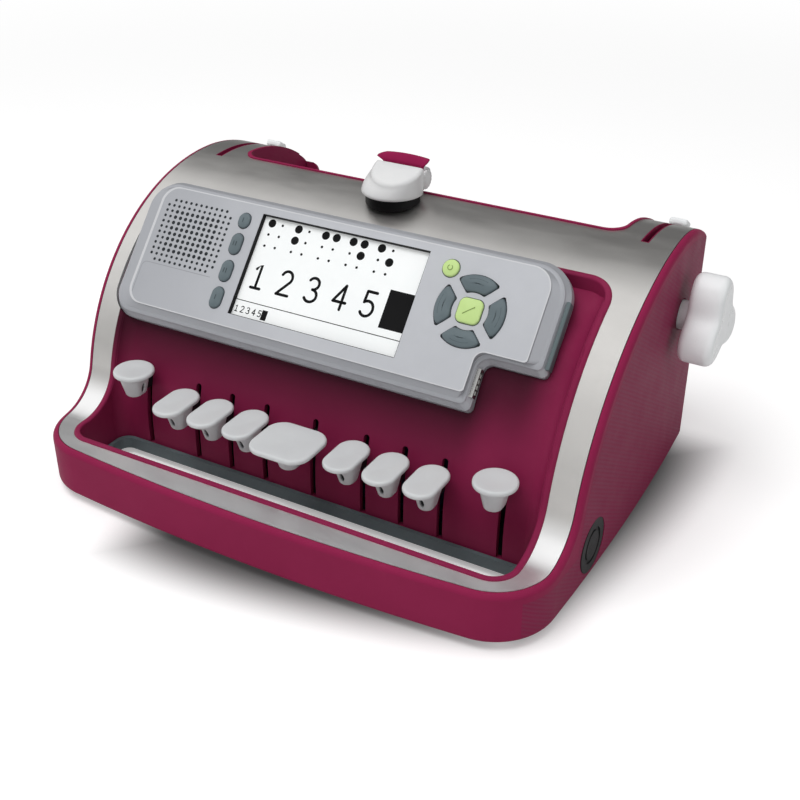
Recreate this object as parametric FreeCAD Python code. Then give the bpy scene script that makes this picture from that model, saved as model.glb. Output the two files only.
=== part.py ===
"""Manual braille writer with a display module.

A desk machine in a two-colour casing.  Nine keys stand in a well at the front:
six dot keys, a space key and two round keys for line feed and backspace.  Each
key cap sits on a steel lever that turns on one shaft inside the casing.  A feed
roller with a lobed knob at each end moves the paper, two releases free it, and
an embossing carriage slides on two rails under the top cover.  A module with a
display and ten buttons is let into the wall above the keys.

Frame: millimetres, +Z up, +X to the typist's right, -Y towards the typist.  The
origin is on the table, under the middle of the machine.
"""
import FreeCAD, Part
import math
import os

from FreeCAD import Vector

# ---- casing ---------------------------------------------------------------
WIDTH = 310.0                # casing width at its widest
DEPTH = 250.0                # front of the handle bar to the rear wall
FOOT_HEIGHT = 4.0            # gap between table and casing
SHELL_HEIGHT = 144.0         # casing bottom to the crest of the shoulders
BAR_HEIGHT = 29.0            # casing bottom to the top of the front bar
CREST_SETBACK = DEPTH - 66.0 # front of the casing to the crest line
SLOPE_R = 128.0              # front slope
HOLLOW_R = 28.0              # sweep from the bar into the slope
REAR_R = 95.0                # rear slope
REAR_CORNER_R = 22.0
FRONT_BOW = 8.3              # the front edge stands forward in the middle
SIDE_BOW = 4.7               # each side stands out in the middle
FRONT_CORNER_R = 34.0
BACK_CORNER_R = 21.5
SHELL_WALL = 4.5
RIM_R = 3.0                  # rounding of the upper edge
FOOT_EDGE_R = 3.0            # rounding of the lower edge
LOW_CORNER_R = 14.0          # rounding of the lower rear edge

COVER_T = 2.0                # bright top cover
COVER_RIM = 3.6              # width of the casing rim left outside the cover
COVER_GAP = 0.4              # shadow gap between rim and cover
SCOOP_SETBACK = CREST_SETBACK - 6.0          # front of the casing to the cover's rear edge
SCOOP_HALF = 121.5           # half of the gap between the shoulders
SCOOP_CORNER_R = 10.0
SCOOP_LIP = 1.6              # casing showing past the cover's edge
SCOOP_BEAD = 0.7             # how far it stands proud of the cover
SHOULDER_WALL = 3.0
COVER_END = DEPTH - 12.0     # front of the casing to the cover's end on the shoulders
SILL_DROP = 46.0             # crest to the rear wall's edge, in the middle
SILL_HALF = 94.0             # half of the low stretch of the rear wall
SILL_RISE_R = 18.0           # quarter sweeps at the ends of that stretch
SILL_STEP = 5.0              # short rise beside each shoulder

# ---- key well -------------------------------------------------------------
WELL_HALF = WIDTH / 2 - 22.0 # half of the well's width
WELL_FRONT = 20.5            # front of the casing to the bar's rear face
WELL_BACK = CREST_SETBACK - 48.5             # front of the casing to the well's upper edge
WELL_DEPTH = 5.5             # well wall below the cover's surface
WELL_FRONT_R = 11.0
WELL_TOP_R = 12.0
WELL_SIDE_R = 8.0            # side wall to back wall
WELL_WALL = 3.0
LIP_W = 3.5                  # raised bead round the well
LIP_H = 1.0
LIP_R = 1.2
STRIP_H = 6.9                # rubber strip along the grip opening
STRIP_T = 2.4
SLOT_W = 3.4
SLOT_LOW = 6.9               # casing bottom to the slots' lower end
SLOT_HIGH = 53.3

# ---- keys -----------------------------------------------------------------
DOT_PITCH = 23.1
DOT_FIRST = 31.4             # middle to the nearest dot key
ROUND_KEY_X = 111.8
PIVOT_SETBACK = CREST_SETBACK - 24.0         # front of the casing to the key shaft
PIVOT_HEIGHT = 40.0          # casing bottom to the key shaft
KEY_SHAFT_R = 3.0
RUNNING_GAP = 0.05           # radial clearance of a turning fit
LEVER_T = 3.0
LEVER_H = 8.0
LEVER_EYE_R = 8.0
LEVER_TAIL = 24.0
DOT_CAP = dict(width=18.0, length=30.2, corner=8.9, total=16.7, stem_r=6.4, foot_r=4.0,
               stem_back=1.5, hole="front", setback=46.5, top=52.8)
SPACE_CAP = dict(width=35.5, length=32.8, corner=10.0, total=15.3, stem_r=7.4, foot_r=5.0,
                 stem_back=1.5, hole="", setback=40.4, top=54.5)
ROUND_CAP = dict(width=22.8, length=22.8, corner=11.3, total=15.3, stem_r=6.6, foot_r=4.7,
                 stem_back=0.0, hole="", setback=53.1, top=60.2)
CAP_RIM = 2.7                # height of a cap's side
CAP_FLARE = 3.2              # height of the flare from the stem to the cap
STEM_STRETCH = 1.3           # a stem's length over its width
LEVER_SEAT = 0.8             # foot of the stem to the lever
CAP_EDGE_R = 0.95
DISH_R = 70.0
DISH_DEPTH = 0.5
SPRING_WIRE_R = 0.6
SPRING_TURNS = 4

# ---- paper feed -----------------------------------------------------------
FEED_SETBACK = SCOOP_SETBACK + 14.0
FEED_HEIGHT = 99.0
FEED_SHAFT_R = 4.0
FEED_ROLLER_R = 11.0
FEED_ROLLER_HALF = SCOOP_HALF - 9.5
PINCH_R = 7.0                # pressure roller
PINCH_SHAFT_R = 2.5
PINCH_ANGLE = 60.0           # above horizontal, behind the feed roller
PAPER_GAP = 0.15
KNOB_LOBE_R = 26.5
KNOB_WAIST_R = 15.5
KNOB_LOBES = 3
KNOB_TURN = -3.0
KNOB_T = 18.8
KNOB_GAP = 4.2               # casing side to the knob
KNOB_HUB_R = 8.0
KNOB_EDGE_R = 4.0

# ---- paper releases -------------------------------------------------------
RELEASE_X = SCOOP_HALF + 13.5
RELEASE_T = 2.4
RELEASE_PIN_R = 3.0
RELEASE_BACK = 31.0          # lean of the release at rest, degrees
RELEASE_SWING = 26.0
RELEASE_ARM_W = 6.5
RELEASE_SLOT_W = 3.4
RELEASE_SLOT_START = SCOOP_SETBACK - 4.0
RELEASE_SLOT_END = COVER_END - 1.6
COLLAR_W = 0.6               # casing showing on both sides of the slot
RELEASE_FAN_R = 62.0
TAB_W = 10.5
TAB_L = 9.0
TAB_T = 4.0
TAB_R = 1.6
TAB_CLEAR = 0.4

# ---- carriage -------------------------------------------------------------
CARRIAGE_X = -7.2            # carriage at rest
CARRIAGE_LEFT = 80.0         # travel
CARRIAGE_RIGHT = 85.0
RAIL_R = 4.0
FRONT_RAIL = (SCOOP_SETBACK - 26.0, 112.0)   # set back from the front, height over the base
REAR_RAIL = (SCOOP_SETBACK - 8.0, 94.0)
BLOCK_HALF = 22.0
ARM_HALF = 5.0
ARM_T = 2.6
DISC_R = 15.2
DISC_SETBACK = SCOOP_SETBACK - 15.5
DISC_TOP = 148.2             # casing bottom to the top of the disc
DISC_CLEAR = 0.5             # air between the disc and the crest
DISC_TILT = 4.8              # the underside drops towards the front, degrees
HOOD = (-9.0, 12.2, -4.5, 7.6, 148.6, 157.5)     # x from the carriage's, y from the scoop's, height
HOOD_R = 2.5
GRIP_CAP_R = 17.8
GRIP_CAP_X = -6.9
GRIP_CAP_SETBACK = SCOOP_SETBACK - 15.5
GRIP_CAP_DRAFT = 4.8
GRIP_CAP_EDGE_R = 2.4
GRIP_CAP_FLAT = 3.0          # flat back behind the cap's middle
GRIP_CAP_TOP = 163.4
GRIP_CAP_TILT = 20.0
GRIP_T = 2.4
GRIP_HALF = 12.6
GRIP_LIP_HALF = 16.1
GRIP_CURL_R = 7.4            # front face of the lip
GRIP_CURL_T = 1.8
GRIP_CURL_TURN = 106.0       # turn of the lip's curl, degrees
GRIP_TOP = 166.2
GRIP_X = -4.6
GRIP_LIP_X = -3.9
GRIP_GAP = 2.0
GRIP_PIN_R = 1.0
GRIP_KNUCKLE_R = 2.3
DRUM_R = 18.0
DRUM_W = 14.0
DRUM_X = -95.0
DRUM_SETBACK = CREST_SETBACK - 38.0
DRUM_HEIGHT = 66.0

# ---- display module, in its own plane: u to the right, v up the slope ------
MODULE_TILT = 48.8
MODULE_RISE = 5.1            # face above the cover's slope, where it is nearest
MODULE_T = 13.0
MODULE_SPLIT = 8.0           # face to the joint of the two half shells
MODULE_BEVEL = 3.6
MODULE_RIDGE = ((-0.55, -1.5), (-0.1, -0.55), (0.75, -0.05), (1.9, 0.32))     # inset and rise of its rounding
MODULE_DRAFT = 2.6           # the side walls lean out towards the back
MODULE_SKIN = 2.4
PANEL_RISE = 0.8
MODULE_LEFT = -142.5
MODULE_RIGHT = 119.3
MODULE_TOP = 58.4
MODULE_LOW = -24.6
NOTCH_U = 86.4
NOTCH_V = 1.2
PANEL_LEFT = -130.4
PANEL_RIGHT = 110.2
PANEL_TOP = 53.4
PANEL_LOW = -17.2
PANEL_NOTCH_U = 83.3
PANEL_NOTCH_V = 4.7
SCREEN_LEFT = -62.0
SCREEN_RIGHT = 41.7
SCREEN_TOP = 48.8
SCREEN_LOW = -9.5
SCREEN_SINK = 3.0
SCREEN_T = 2.5
BOARD_T = 1.6
BUTTON_STAND = 1.5
BUTTON_TRAVEL = 0.8
BUTTON_GAP = 0.35
BUTTON_FLANGE = 0.5
SIDE_BUTTON_U = -72.0
SIDE_BUTTON_W = 7.3
SIDE_BUTTONS = {             # name: (v, height)
    "side_button_1": (42.5, 8.8),
    "side_button_2": (28.7, 12.2),
    "side_button_3": (12.8, 12.2),
    "side_button_4": (-2.8, 12.2),
}
POWER_U = 55.7
POWER_V = 42.4
POWER_R = 4.6
PAD_U = 72.9
PAD_V = 23.1
PAD_R = 19.0
PAD_HOLE_R = 10.2
PAD_GAP = 6.0
PAD_CORNER_R = 1.2
SELECT_HALF = 6.6
SELECT_CORNER = 3.6
GRILLE_U = -102.8
GRILLE_V = 27.5
GRILLE_COLUMNS = 13
GRILLE_ROWS = 12
GRILLE_PITCH_U = 3.55
GRILLE_PITCH_V = 3.25
GRILLE_DOT_R = 0.95
GRILLE_RIM_DOT_R = 0.6
SPEAKER_R = 17.0

# ---- frame, base and feet ---------------------------------------------------
FRAME_X = SCOOP_HALF + 3.0   # inner face of each side frame
FRAME_T = 2.5
PAN_T = 2.6
FIT = 0.2                    # gap between parts that are only laid together
FOOT_R = 5.5
FRONT_FOOT = (13.5, 41.0)    # set in from the casing's widest and from its front
REAR_FOOT = (43.0, 28.0)     # the same from the rear wall
PLUG_R = 15.0
PLUG_SETBACK = 80.0
PLUG_HEIGHT = 19.0
SCREW_R = 2.0
SCREW_HEAD_R = 4.0
SCREW_PLACES = ((WIDTH / 2 - 95.0, 12.0), (WIDTH / 2 - 55.0, DEPTH - 22.0),
                (WIDTH / 2 - 115.0, DEPTH - 22.0), (WIDTH / 2 - 16.0, PIVOT_SETBACK))
CELL_R = 9.0                 # round cells of the battery pack
CELL_LENGTH = 66.0
BATTERY_X = 18.0
BATTERY_SETBACK = PIVOT_SETBACK - 60.0
TABLE_LEDGE = 17.0           # height of the paper table's rear ledge

FRONT_Y = -DEPTH / 2
REAR_Y = DEPTH / 2
BASE_Z = FOOT_HEIGHT
BAR_Z = BASE_Z + BAR_HEIGHT
CREST_Y = FRONT_Y + CREST_SETBACK
CREST_Z = BASE_Z + SHELL_HEIGHT
SLOPE_Z = CREST_Z - SLOPE_R                  # the slope's centre lies under the crest
REAR_Z = CREST_Z - REAR_R
HOLLOW_Z = BAR_Z + HOLLOW_R
HOLLOW_Y = CREST_Y - math.sqrt((SLOPE_R + HOLLOW_R) ** 2 - (HOLLOW_Z - SLOPE_Z) ** 2)
RUN_OUT = 0.15                               # rear arcs run out through the rear wall
CORNER_Y = REAR_Y + RUN_OUT - REAR_CORNER_R
CORNER_Z = REAR_Z + math.sqrt((REAR_R - REAR_CORNER_R) ** 2 - (CORNER_Y - CREST_Y) ** 2)
PIVOT_Y = FRONT_Y + PIVOT_SETBACK
PIVOT_Z = BASE_Z + PIVOT_HEIGHT
FEED_Y = FRONT_Y + FEED_SETBACK
FEED_Z = BASE_Z + FEED_HEIGHT
PINCH_REACH = FEED_ROLLER_R + PINCH_R + PAPER_GAP
PINCH_Y = FEED_Y + PINCH_REACH * math.cos(math.radians(PINCH_ANGLE))
PINCH_Z = FEED_Z + PINCH_REACH * math.sin(math.radians(PINCH_ANGLE))
PAN_Z = BASE_Z + PAN_T                       # top of the base pan
MODULE_DISTANCE = SLOPE_R + MODULE_RISE      # slope centre to the module's face
MODULE_Y = CREST_Y - MODULE_DISTANCE * math.sin(math.radians(MODULE_TILT))
MODULE_Z = SLOPE_Z + MODULE_DISTANCE * math.cos(math.radians(MODULE_TILT))
X_AXIS = Vector(1, 0, 0)
Y_AXIS = Vector(0, 1, 0)
Z_AXIS = Vector(0, 0, 1)
FAR = 400.0                                  # past every surface of the machine


def box(x0, x1, y0, y1, z0, z1):
    """Block between two corners."""
    return Part.makeBox(x1 - x0, y1 - y0, z1 - z0, Vector(x0, y0, z0))


def rod_x(radius, x0, x1, y, z):
    """Round bar along X."""
    return Part.makeCylinder(radius, x1 - x0, Vector(x0, y, z), X_AXIS)


def rod_y(radius, y0, y1, x, z):
    """Round bar along Y."""
    return Part.makeCylinder(radius, y1 - y0, Vector(x, y0, z), Y_AXIS)


def rod_z(radius, z0, z1, x, y):
    """Round bar along Z."""
    return Part.makeCylinder(radius, z1 - z0, Vector(x, y, z0), Z_AXIS)


def rounded_wire(corners, z=0.0):
    """Closed outline in a level plane; each corner is (x, y, radius)."""
    turns = []
    count = len(corners)
    for index in range(count):
        x, y, radius = corners[index]
        here = Vector(x, y, z)
        to_last = (Vector(corners[index - 1][0], corners[index - 1][1], z) - here).normalize()
        following = corners[(index + 1) % count]
        to_next = (Vector(following[0], following[1], z) - here).normalize()
        if radius <= 0:
            turns.append((here, here, here))
            continue
        half = to_last.getAngle(to_next) / 2
        reach = radius / math.tan(half)
        middle = here + (to_last + to_next).normalize() * (radius / math.sin(half) - radius)
        turns.append((here + to_last * reach, middle, here + to_next * reach))
    edges = []
    for index in range(count):
        start, middle, end = turns[index]
        if start.distanceToPoint(end) > 1e-6:
            edges.append(Part.Arc(start, middle, end).toShape())
        following = turns[(index + 1) % count][0]
        if end.distanceToPoint(following) > 1e-6:
            edges.append(Part.LineSegment(end, following).toShape())
    return Part.Wire(edges)


def rounded_prism(corners, z0, z1):
    """Upright prism on a rounded outline."""
    return Part.Face(rounded_wire(corners, z0)).extrude(Vector(0, 0, z1 - z0))


def rectangle(x0, x1, y0, y1, radius):
    """Corners of a rectangle with one radius, for the functions above."""
    return [(x0, y0, radius), (x1, y0, radius), (x1, y1, radius), (x0, y1, radius)]


def side_prism(points, x0, x1):
    """Plate across X on an outline of (y, z) points."""
    wire = Part.makePolygon([Vector(x0, y, z) for y, z in points] + [Vector(x0, *points[0])])
    return Part.Face(wire).extrude(Vector(x1 - x0, 0, 0))


def side_arc(centre, radius, start, end, x):
    """Arc in a side plane, from one angle to the other, in degrees."""
    points = []
    for angle in (start, (start + end) / 2, end):
        turn = math.radians(angle)
        points.append(Vector(x, centre[0] + radius * math.cos(turn),
                             centre[1] + radius * math.sin(turn)))
    return Part.Arc(*points).toShape()


def joined(pieces):
    """One solid from pieces that overlap or touch."""
    first, *others = pieces
    return first.fuse(others).removeSplitter() if others else first


def mirrored(shape):
    """Copy on the other side of the middle plane."""
    return shape.mirror(Vector(0, 0, 0), X_AXIS)


def edges_where(shape, test):
    """Edges whose box passes a test."""
    return [edge for edge in shape.Edges if test(edge.BoundBox)]


# ---- casing forms ---------------------------------------------------------
def casing_side(inset, low, half):
    """Side profile of the casing, inset all round, from a low level up.

    Bar front, bar top, hollow sweep, front slope, rear slope, rear corner and
    rear wall, as straight runs and tangent arcs, extruded across the machine.
    """
    x = -half
    hollow_turn = math.degrees(math.atan2(SLOPE_Z - HOLLOW_Z, CREST_Y - HOLLOW_Y))
    corner_turn = math.degrees(math.atan2(CORNER_Z - REAR_Z, CORNER_Y - CREST_Y))
    front = FRONT_Y + inset
    back = REAR_Y + RUN_OUT - inset
    top = BAR_Z - inset
    edges = [
        Part.makeLine(Vector(x, front, low), Vector(x, front, top)),
        Part.makeLine(Vector(x, front, top), Vector(x, HOLLOW_Y, top)),
        side_arc((HOLLOW_Y, HOLLOW_Z), HOLLOW_R + inset, -90, hollow_turn, x),
        side_arc((CREST_Y, SLOPE_Z), SLOPE_R - inset, 180 + hollow_turn, 90, x),
        side_arc((CREST_Y, REAR_Z), REAR_R - inset, 90, corner_turn, x),
        side_arc((CORNER_Y, CORNER_Z), REAR_CORNER_R - inset, corner_turn, 0, x),
        Part.makeLine(Vector(x, back, CORNER_Z), Vector(x, back, low)),
        Part.makeLine(Vector(x, back, low), Vector(x, front, low)),
    ]
    return Part.Face(Part.Wire(Part.__sortEdges__(edges))).extrude(Vector(2 * half, 0, 0))


def casing_plan(inset, low, high):
    """Upright prism on the casing's outline seen from above, inset all round.

    The front and both sides are shallow arcs, drawn as cylinders that meet.
    """
    half = WIDTH / 2
    front_r = ((half - SIDE_BOW) ** 2 + FRONT_BOW ** 2) / (2 * FRONT_BOW)
    side_r = ((DEPTH / 2) ** 2 + SIDE_BOW ** 2) / (2 * SIDE_BOW)
    prism = box(-WIDTH, WIDTH, FRONT_Y - 20, REAR_Y - inset, low, high)
    for radius, x, y in ((front_r, 0, FRONT_Y + front_r), (side_r, half - side_r, 0),
                         (side_r, side_r - half, 0)):
        prism = prism.common(rod_z(radius - inset, low, high, x, y))
    for radius, is_front in ((FRONT_CORNER_R, True), (BACK_CORNER_R, False)):
        upright = edges_where(prism, lambda b: b.ZLength > high - low - 1
                              and abs(b.XMax) > half / 2 and (b.YMax < 0) == is_front)
        prism = prism.makeFillet(radius - inset, upright)
    return prism


def low_rear_corner(inset):
    """What the rounding of the lower rear edge takes away.

    The arc runs out through the rear wall, so that no surface ends in a point.
    """
    y = REAR_Y - LOW_CORNER_R + RUN_OUT
    z = BASE_Z + LOW_CORNER_R
    block = box(-FAR, FAR, y, REAR_Y + 50, BASE_Z - 50, z)
    return block.cut(rod_x(LOW_CORNER_R - inset, -FAR, FAR, y, z))


def well_front_region(radius, foot):
    """Everything in front of the well's back wall, whose slope has this radius.

    Below the slope centre the wall is plumb.
    """
    wall_y = CREST_Y - radius
    low = foot
    top_turn = 100.0
    x = -WIDTH
    top_y = CREST_Y + radius * math.cos(math.radians(top_turn))
    top_z = SLOPE_Z + radius * math.sin(math.radians(top_turn))
    edges = [
        Part.makeLine(Vector(x, -FAR, low), Vector(x, wall_y, low)),
        Part.makeLine(Vector(x, wall_y, low), Vector(x, wall_y, SLOPE_Z)),
        side_arc((CREST_Y, SLOPE_Z), radius, 180, top_turn, x),
        Part.makeLine(Vector(x, top_y, top_z), Vector(x, top_y, FAR)),
        Part.makeLine(Vector(x, top_y, FAR), Vector(x, -FAR, FAR)),
        Part.makeLine(Vector(x, -FAR, FAR), Vector(x, -FAR, low)),
    ]
    return Part.Face(Part.Wire(edges)).extrude(Vector(2 * WIDTH, 0, 0))


def well_outline(grow):
    """Corners of the well's outline from above, grown all round."""
    half = WELL_HALF + grow
    front = FRONT_Y + WELL_FRONT - grow
    back = FRONT_Y + WELL_BACK + grow
    return [(-half, front, WELL_FRONT_R + grow), (half, front, WELL_FRONT_R + grow),
            (half, back, WELL_TOP_R + grow), (-half, back, WELL_TOP_R + grow)]


def well_space():
    """The air in the key well and in the grip opening under it."""
    region = well_front_region(SLOPE_R - WELL_DEPTH, BASE_Z - 10)
    block = region.common(box(-WELL_HALF, WELL_HALF, FRONT_Y + WELL_FRONT,
                              FRONT_Y + WELL_BACK, BASE_Z - 10, FAR))
    wall_y = CREST_Y - SLOPE_R + WELL_DEPTH
    corners = edges_where(block, lambda b: b.XLength < 0.01 and abs(b.XMax) > WELL_HALF - 1
                          and b.YMax < FRONT_Y + WELL_BACK + 0.1 and b.YMin > wall_y - 0.1
                          and b.ZMax < CREST_Z)
    block = block.makeFillet(WELL_SIDE_R, corners)
    return block.common(rounded_prism(well_outline(0), BASE_Z - 20, FAR))


def scoop_prism(grow, low, high):
    """Gap between the shoulders, open to the rear, seen from above."""
    half = SCOOP_HALF - grow
    front = FRONT_Y + SCOOP_SETBACK + grow
    return rounded_prism([(-half, front, SCOOP_CORNER_R), (half, front, SCOOP_CORNER_R),
                          (half, FAR, 0), (-half, FAR, 0)], low, high)


def release_slots(grow=0.0):
    """Slots in both shoulders for the paper releases."""
    half = RELEASE_SLOT_W / 2 + grow
    slot = box(RELEASE_X - half, RELEASE_X + half, FRONT_Y + RELEASE_SLOT_START - grow,
               FRONT_Y + RELEASE_SLOT_END + grow, CREST_Z - 45, CREST_Z + 20)
    return [slot, mirrored(slot)]


def proud_skin(height):
    """Layer of the casing's upper side, from inside the cover to this far proud."""
    return casing_side(-height, BASE_Z - 5, WIDTH).cut(casing_side(COVER_T + 1, BASE_Z - 15, WIDTH + 10))


def scoop_bead():
    """Bead along the scoop's edge, standing proud of the cover."""
    ring = scoop_prism(0, BASE_Z, FAR).cut(scoop_prism(SCOOP_LIP, BASE_Z - 5, FAR + 5))
    ring = ring.common(box(-FAR, FAR, -FAR, FRONT_Y + COVER_END, BASE_Z, FAR))
    return proud_skin(SCOOP_BEAD).common(ring)


def cover_layer(rim, thick):
    """Skin of the given thickness on the casing's top, inside its rim."""
    skin = casing_side(0, BASE_Z, WIDTH).cut(casing_side(thick, BASE_Z - 10, WIDTH + 10))
    layer = skin.common(casing_plan(rim, BASE_Z + 10, CREST_Z + 20))
    return layer.cut(box(-FAR, FAR, FRONT_Y + COVER_END, FAR, 0, FAR))


def make_main_housing():
    """Coloured casing: handle bar, sides, rear wall and shoulder walls."""
    outside = casing_side(0, BASE_Z, WIDTH).common(casing_plan(0, BASE_Z - 20, CREST_Z + 20))
    outside = outside.cut(low_rear_corner(0))
    low_edges = edges_where(outside, lambda b: b.ZMax < BASE_Z + 0.1
                            and not (b.XLength > WIDTH / 2 and b.YMin > 0))
    outside = outside.makeFillet(FOOT_EDGE_R, low_edges)
    rim_edges = edges_where(outside, lambda b: b.ZMin > BAR_Z - 0.1 and b.YMax < CORNER_Y + 25
                            and not (b.XLength > WIDTH / 2 and b.YMin > HOLLOW_Y - 1)
                            and not (b.YLength < 0.01 and b.XLength > 1))
    outside = outside.makeFillet(RIM_R, rim_edges)
    inside = casing_side(SHELL_WALL, BASE_Z - 10, WIDTH).common(
        casing_plan(SHELL_WALL, BASE_Z - 30, CREST_Z + 20)).cut(low_rear_corner(SHELL_WALL))
    shell = outside.cut(inside)
    inner_half = SCOOP_HALF - SCOOP_LIP
    cheek = box(inner_half, inner_half + SHOULDER_WALL, FRONT_Y + SCOOP_SETBACK,
                REAR_Y - SHELL_WALL / 2, FEED_Z - 25, CREST_Z + 10)
    cheeks = [cheek.common(outside), mirrored(cheek).common(outside)]
    shell = joined([shell] + cheeks)
    shell = shell.cut(cover_layer(COVER_RIM - COVER_GAP, COVER_T))
    collars = [proud_skin(0.0).common(slot) for slot in release_slots(COLLAR_W - FIT)]
    shell = joined([shell, scoop_bead()] + collars)
    shell = shell.cut([rounded_prism(well_outline(LIP_W + FIT), BASE_Z - 20, FAR)])
    shell = shell.cut([sill_cut()] + release_slots())
    shaft_hole = rod_x(KNOB_HUB_R + 0.8, WIDTH / 2 - 20, WIDTH / 2 + 10, FEED_Y, FEED_Z)
    cheek_hole = rod_x(FEED_SHAFT_R + 1, inner_half - 5, inner_half + 10, FEED_Y, FEED_Z)
    pinch_hole = rod_x(PINCH_SHAFT_R + 1, inner_half - 5, inner_half + 10, PINCH_Y, PINCH_Z)
    plug_seat = rod_x(PLUG_R, WIDTH / 2 - SHELL_WALL / 2, WIDTH / 2 + 10,
                      FRONT_Y + PLUG_SETBACK, BASE_Z + PLUG_HEIGHT)
    holes = [shaft_hole, cheek_hole, pinch_hole, plug_seat]
    return shell.cut(holes + [mirrored(hole) for hole in holes])


def sill_cut():
    """Opening between the shoulders, down to the shaped edge of the rear wall."""
    half = SCOOP_HALF - SCOOP_LIP
    front = FRONT_Y + SCOOP_SETBACK + SCOOP_LIP
    low = CREST_Z - SILL_DROP
    shelf = low + SILL_RISE_R + SILL_STEP
    flank = SILL_HALF + SILL_RISE_R
    wire = rounded_wire([(-half, CREST_Z + 20, 0), (-half, shelf, SILL_STEP - 1),
                         (-flank, shelf, SILL_STEP - 1), (-flank, low, SILL_RISE_R - 1),
                         (flank, low, SILL_RISE_R - 1), (flank, shelf, SILL_STEP - 1),
                         (half, shelf, SILL_STEP - 1), (half, CREST_Z + 20, 0)])
    wire.rotate(Vector(0, 0, 0), X_AXIS, 90)
    rear_gate = Part.Face(wire).extrude(Vector(0, FAR, 0))
    upper = scoop_prism(SCOOP_LIP, low, CREST_Z + 20)
    inner = box(-half, half, front, REAR_Y - SHELL_WALL, low, CREST_Z + 20)
    return upper.common(joined([rear_gate.common(upper), inner.common(upper)]))


def make_top_cover():
    """Bright cover: front of the bar, side bands, slope and shoulders."""
    cover = cover_layer(COVER_RIM, COVER_T)
    cover = cover.cut(rounded_prism(well_outline(LIP_W), BASE_Z - 20, FAR))
    return cover.cut([scoop_prism(0, BASE_Z, FAR)] + release_slots(COLLAR_W))


def make_key_well(cutters):
    """Liner of the key well, with its bead, nine slots and the module's seat."""
    block = well_front_region(SLOPE_R - WELL_DEPTH - WELL_WALL, BASE_Z)
    block = block.common(rounded_prism(well_outline(LIP_W), BASE_Z, FAR))
    block = block.common(casing_side(0, BASE_Z - 5, WIDTH))
    liner = block.cut(well_space())
    return joined([liner, make_bead()]).cut(cutters)


def make_bead():
    """Rounded bead round the well, standing proud of the cover."""
    skin = casing_side(-LIP_H, BASE_Z - 5, WIDTH)
    band = skin.cut(casing_side(WELL_DEPTH - 1, BASE_Z - 15, WIDTH + 10))
    ring = rounded_prism(well_outline(LIP_W), BASE_Z + 10, FAR)
    bead = band.common(ring.cut(rounded_prism(well_outline(0), BASE_Z, FAR)))
    rounded = []
    for edge in bead.Edges:
        middle = edge.valueAt((edge.FirstParameter + edge.LastParameter) / 2)
        crosses = abs(edge.BoundBox.XLength - LIP_W) < 0.1 and edge.BoundBox.YLength < 0.1
        if not crosses and Part.Vertex(middle).distToShape(skin.Shells[0])[0] < 0.01:
            rounded.append(edge)
    return bead.makeFillet(LIP_R, rounded)


def key_slots():
    """Cutters for the nine slots in the well's back wall."""
    wall_y = CREST_Y - SLOPE_R + WELL_DEPTH
    cutters = []
    for _, x, _ in keys():
        body = box(x - SLOT_W / 2, x + SLOT_W / 2, wall_y - 6, wall_y + 24,
                   BASE_Z + SLOT_LOW, BASE_Z + SLOT_HIGH - SLOT_W / 2)
        crown = rod_y(SLOT_W / 2, wall_y - 6, wall_y + 24, x, BASE_Z + SLOT_HIGH - SLOT_W / 2)
        cutters.append(joined([body, crown]))
    return cutters


def make_well_edge_strip():
    """Rubber strip round the back and the ends of the grip opening."""
    wall_y = CREST_Y - SLOPE_R + WELL_DEPTH
    front = FRONT_Y + WELL_FRONT
    half = WELL_HALF
    outer = rounded_prism([(-half, front + WELL_FRONT_R, 0), (half, front + WELL_FRONT_R, 0),
                           (half, wall_y, WELL_SIDE_R), (-half, wall_y, WELL_SIDE_R)],
                          BASE_Z, BASE_Z + STRIP_H)
    inner = rounded_prism([(-half + STRIP_T, front, 0), (half - STRIP_T, front, 0),
                           (half - STRIP_T, wall_y - STRIP_T, WELL_SIDE_R - STRIP_T),
                           (-half + STRIP_T, wall_y - STRIP_T, WELL_SIDE_R - STRIP_T)],
                          BASE_Z - 5, BASE_Z + STRIP_H + 5)
    return outer.cut(inner)


# ---- keys -----------------------------------------------------------------
def keys():
    """Name, x and cap of every key, from left to right."""
    rows = [("line_feed", -ROUND_KEY_X, ROUND_CAP)]
    for number in (3, 2, 1):
        rows.append((f"dot_{number}", -DOT_FIRST - (number - 1) * DOT_PITCH, DOT_CAP))
    rows.append(("space", 0.0, SPACE_CAP))
    for number in (4, 5, 6):
        rows.append((f"dot_{number}", DOT_FIRST + (number - 4) * DOT_PITCH, DOT_CAP))
    rows.append(("backspace", ROUND_KEY_X, ROUND_CAP))
    return rows


def make_lever(x, cap):
    """Steel bar from the stem of a cap to an eye on the key shaft."""
    tip_y = FRONT_Y + cap["setback"] + cap["stem_back"] - cap["foot_r"]
    front_low = BASE_Z + cap["top"] - cap["total"] + LEVER_SEAT
    waist_y = PIVOT_Y - LEVER_EYE_R
    tail_y = PIVOT_Y + LEVER_TAIL
    outline = [(tip_y, front_low), (waist_y, PIVOT_Z - LEVER_H / 2), (tail_y, PIVOT_Z - 3),
               (tail_y, PIVOT_Z + 3), (waist_y, PIVOT_Z + LEVER_H / 2),
               (tip_y, front_low + LEVER_H)]
    left = x - LEVER_T / 2
    right = x + LEVER_T / 2
    bar = side_prism(outline, left, right)
    eye = rod_x(LEVER_EYE_R, left, right, PIVOT_Y, PIVOT_Z)
    bore = rod_x(KEY_SHAFT_R + RUNNING_GAP, left - 1, right + 1, PIVOT_Y, PIVOT_Z)
    return joined([bar, eye]).cut(bore)


def cap_corners(x, cap, inset):
    """Corners of a cap's outline, inset all round."""
    y = FRONT_Y + cap["setback"]
    half_w = cap["width"] / 2 - inset
    half_l = cap["length"] / 2 - inset
    return rectangle(x - half_w, x + half_w, y - half_l, y + half_l, cap["corner"] - inset)


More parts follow.
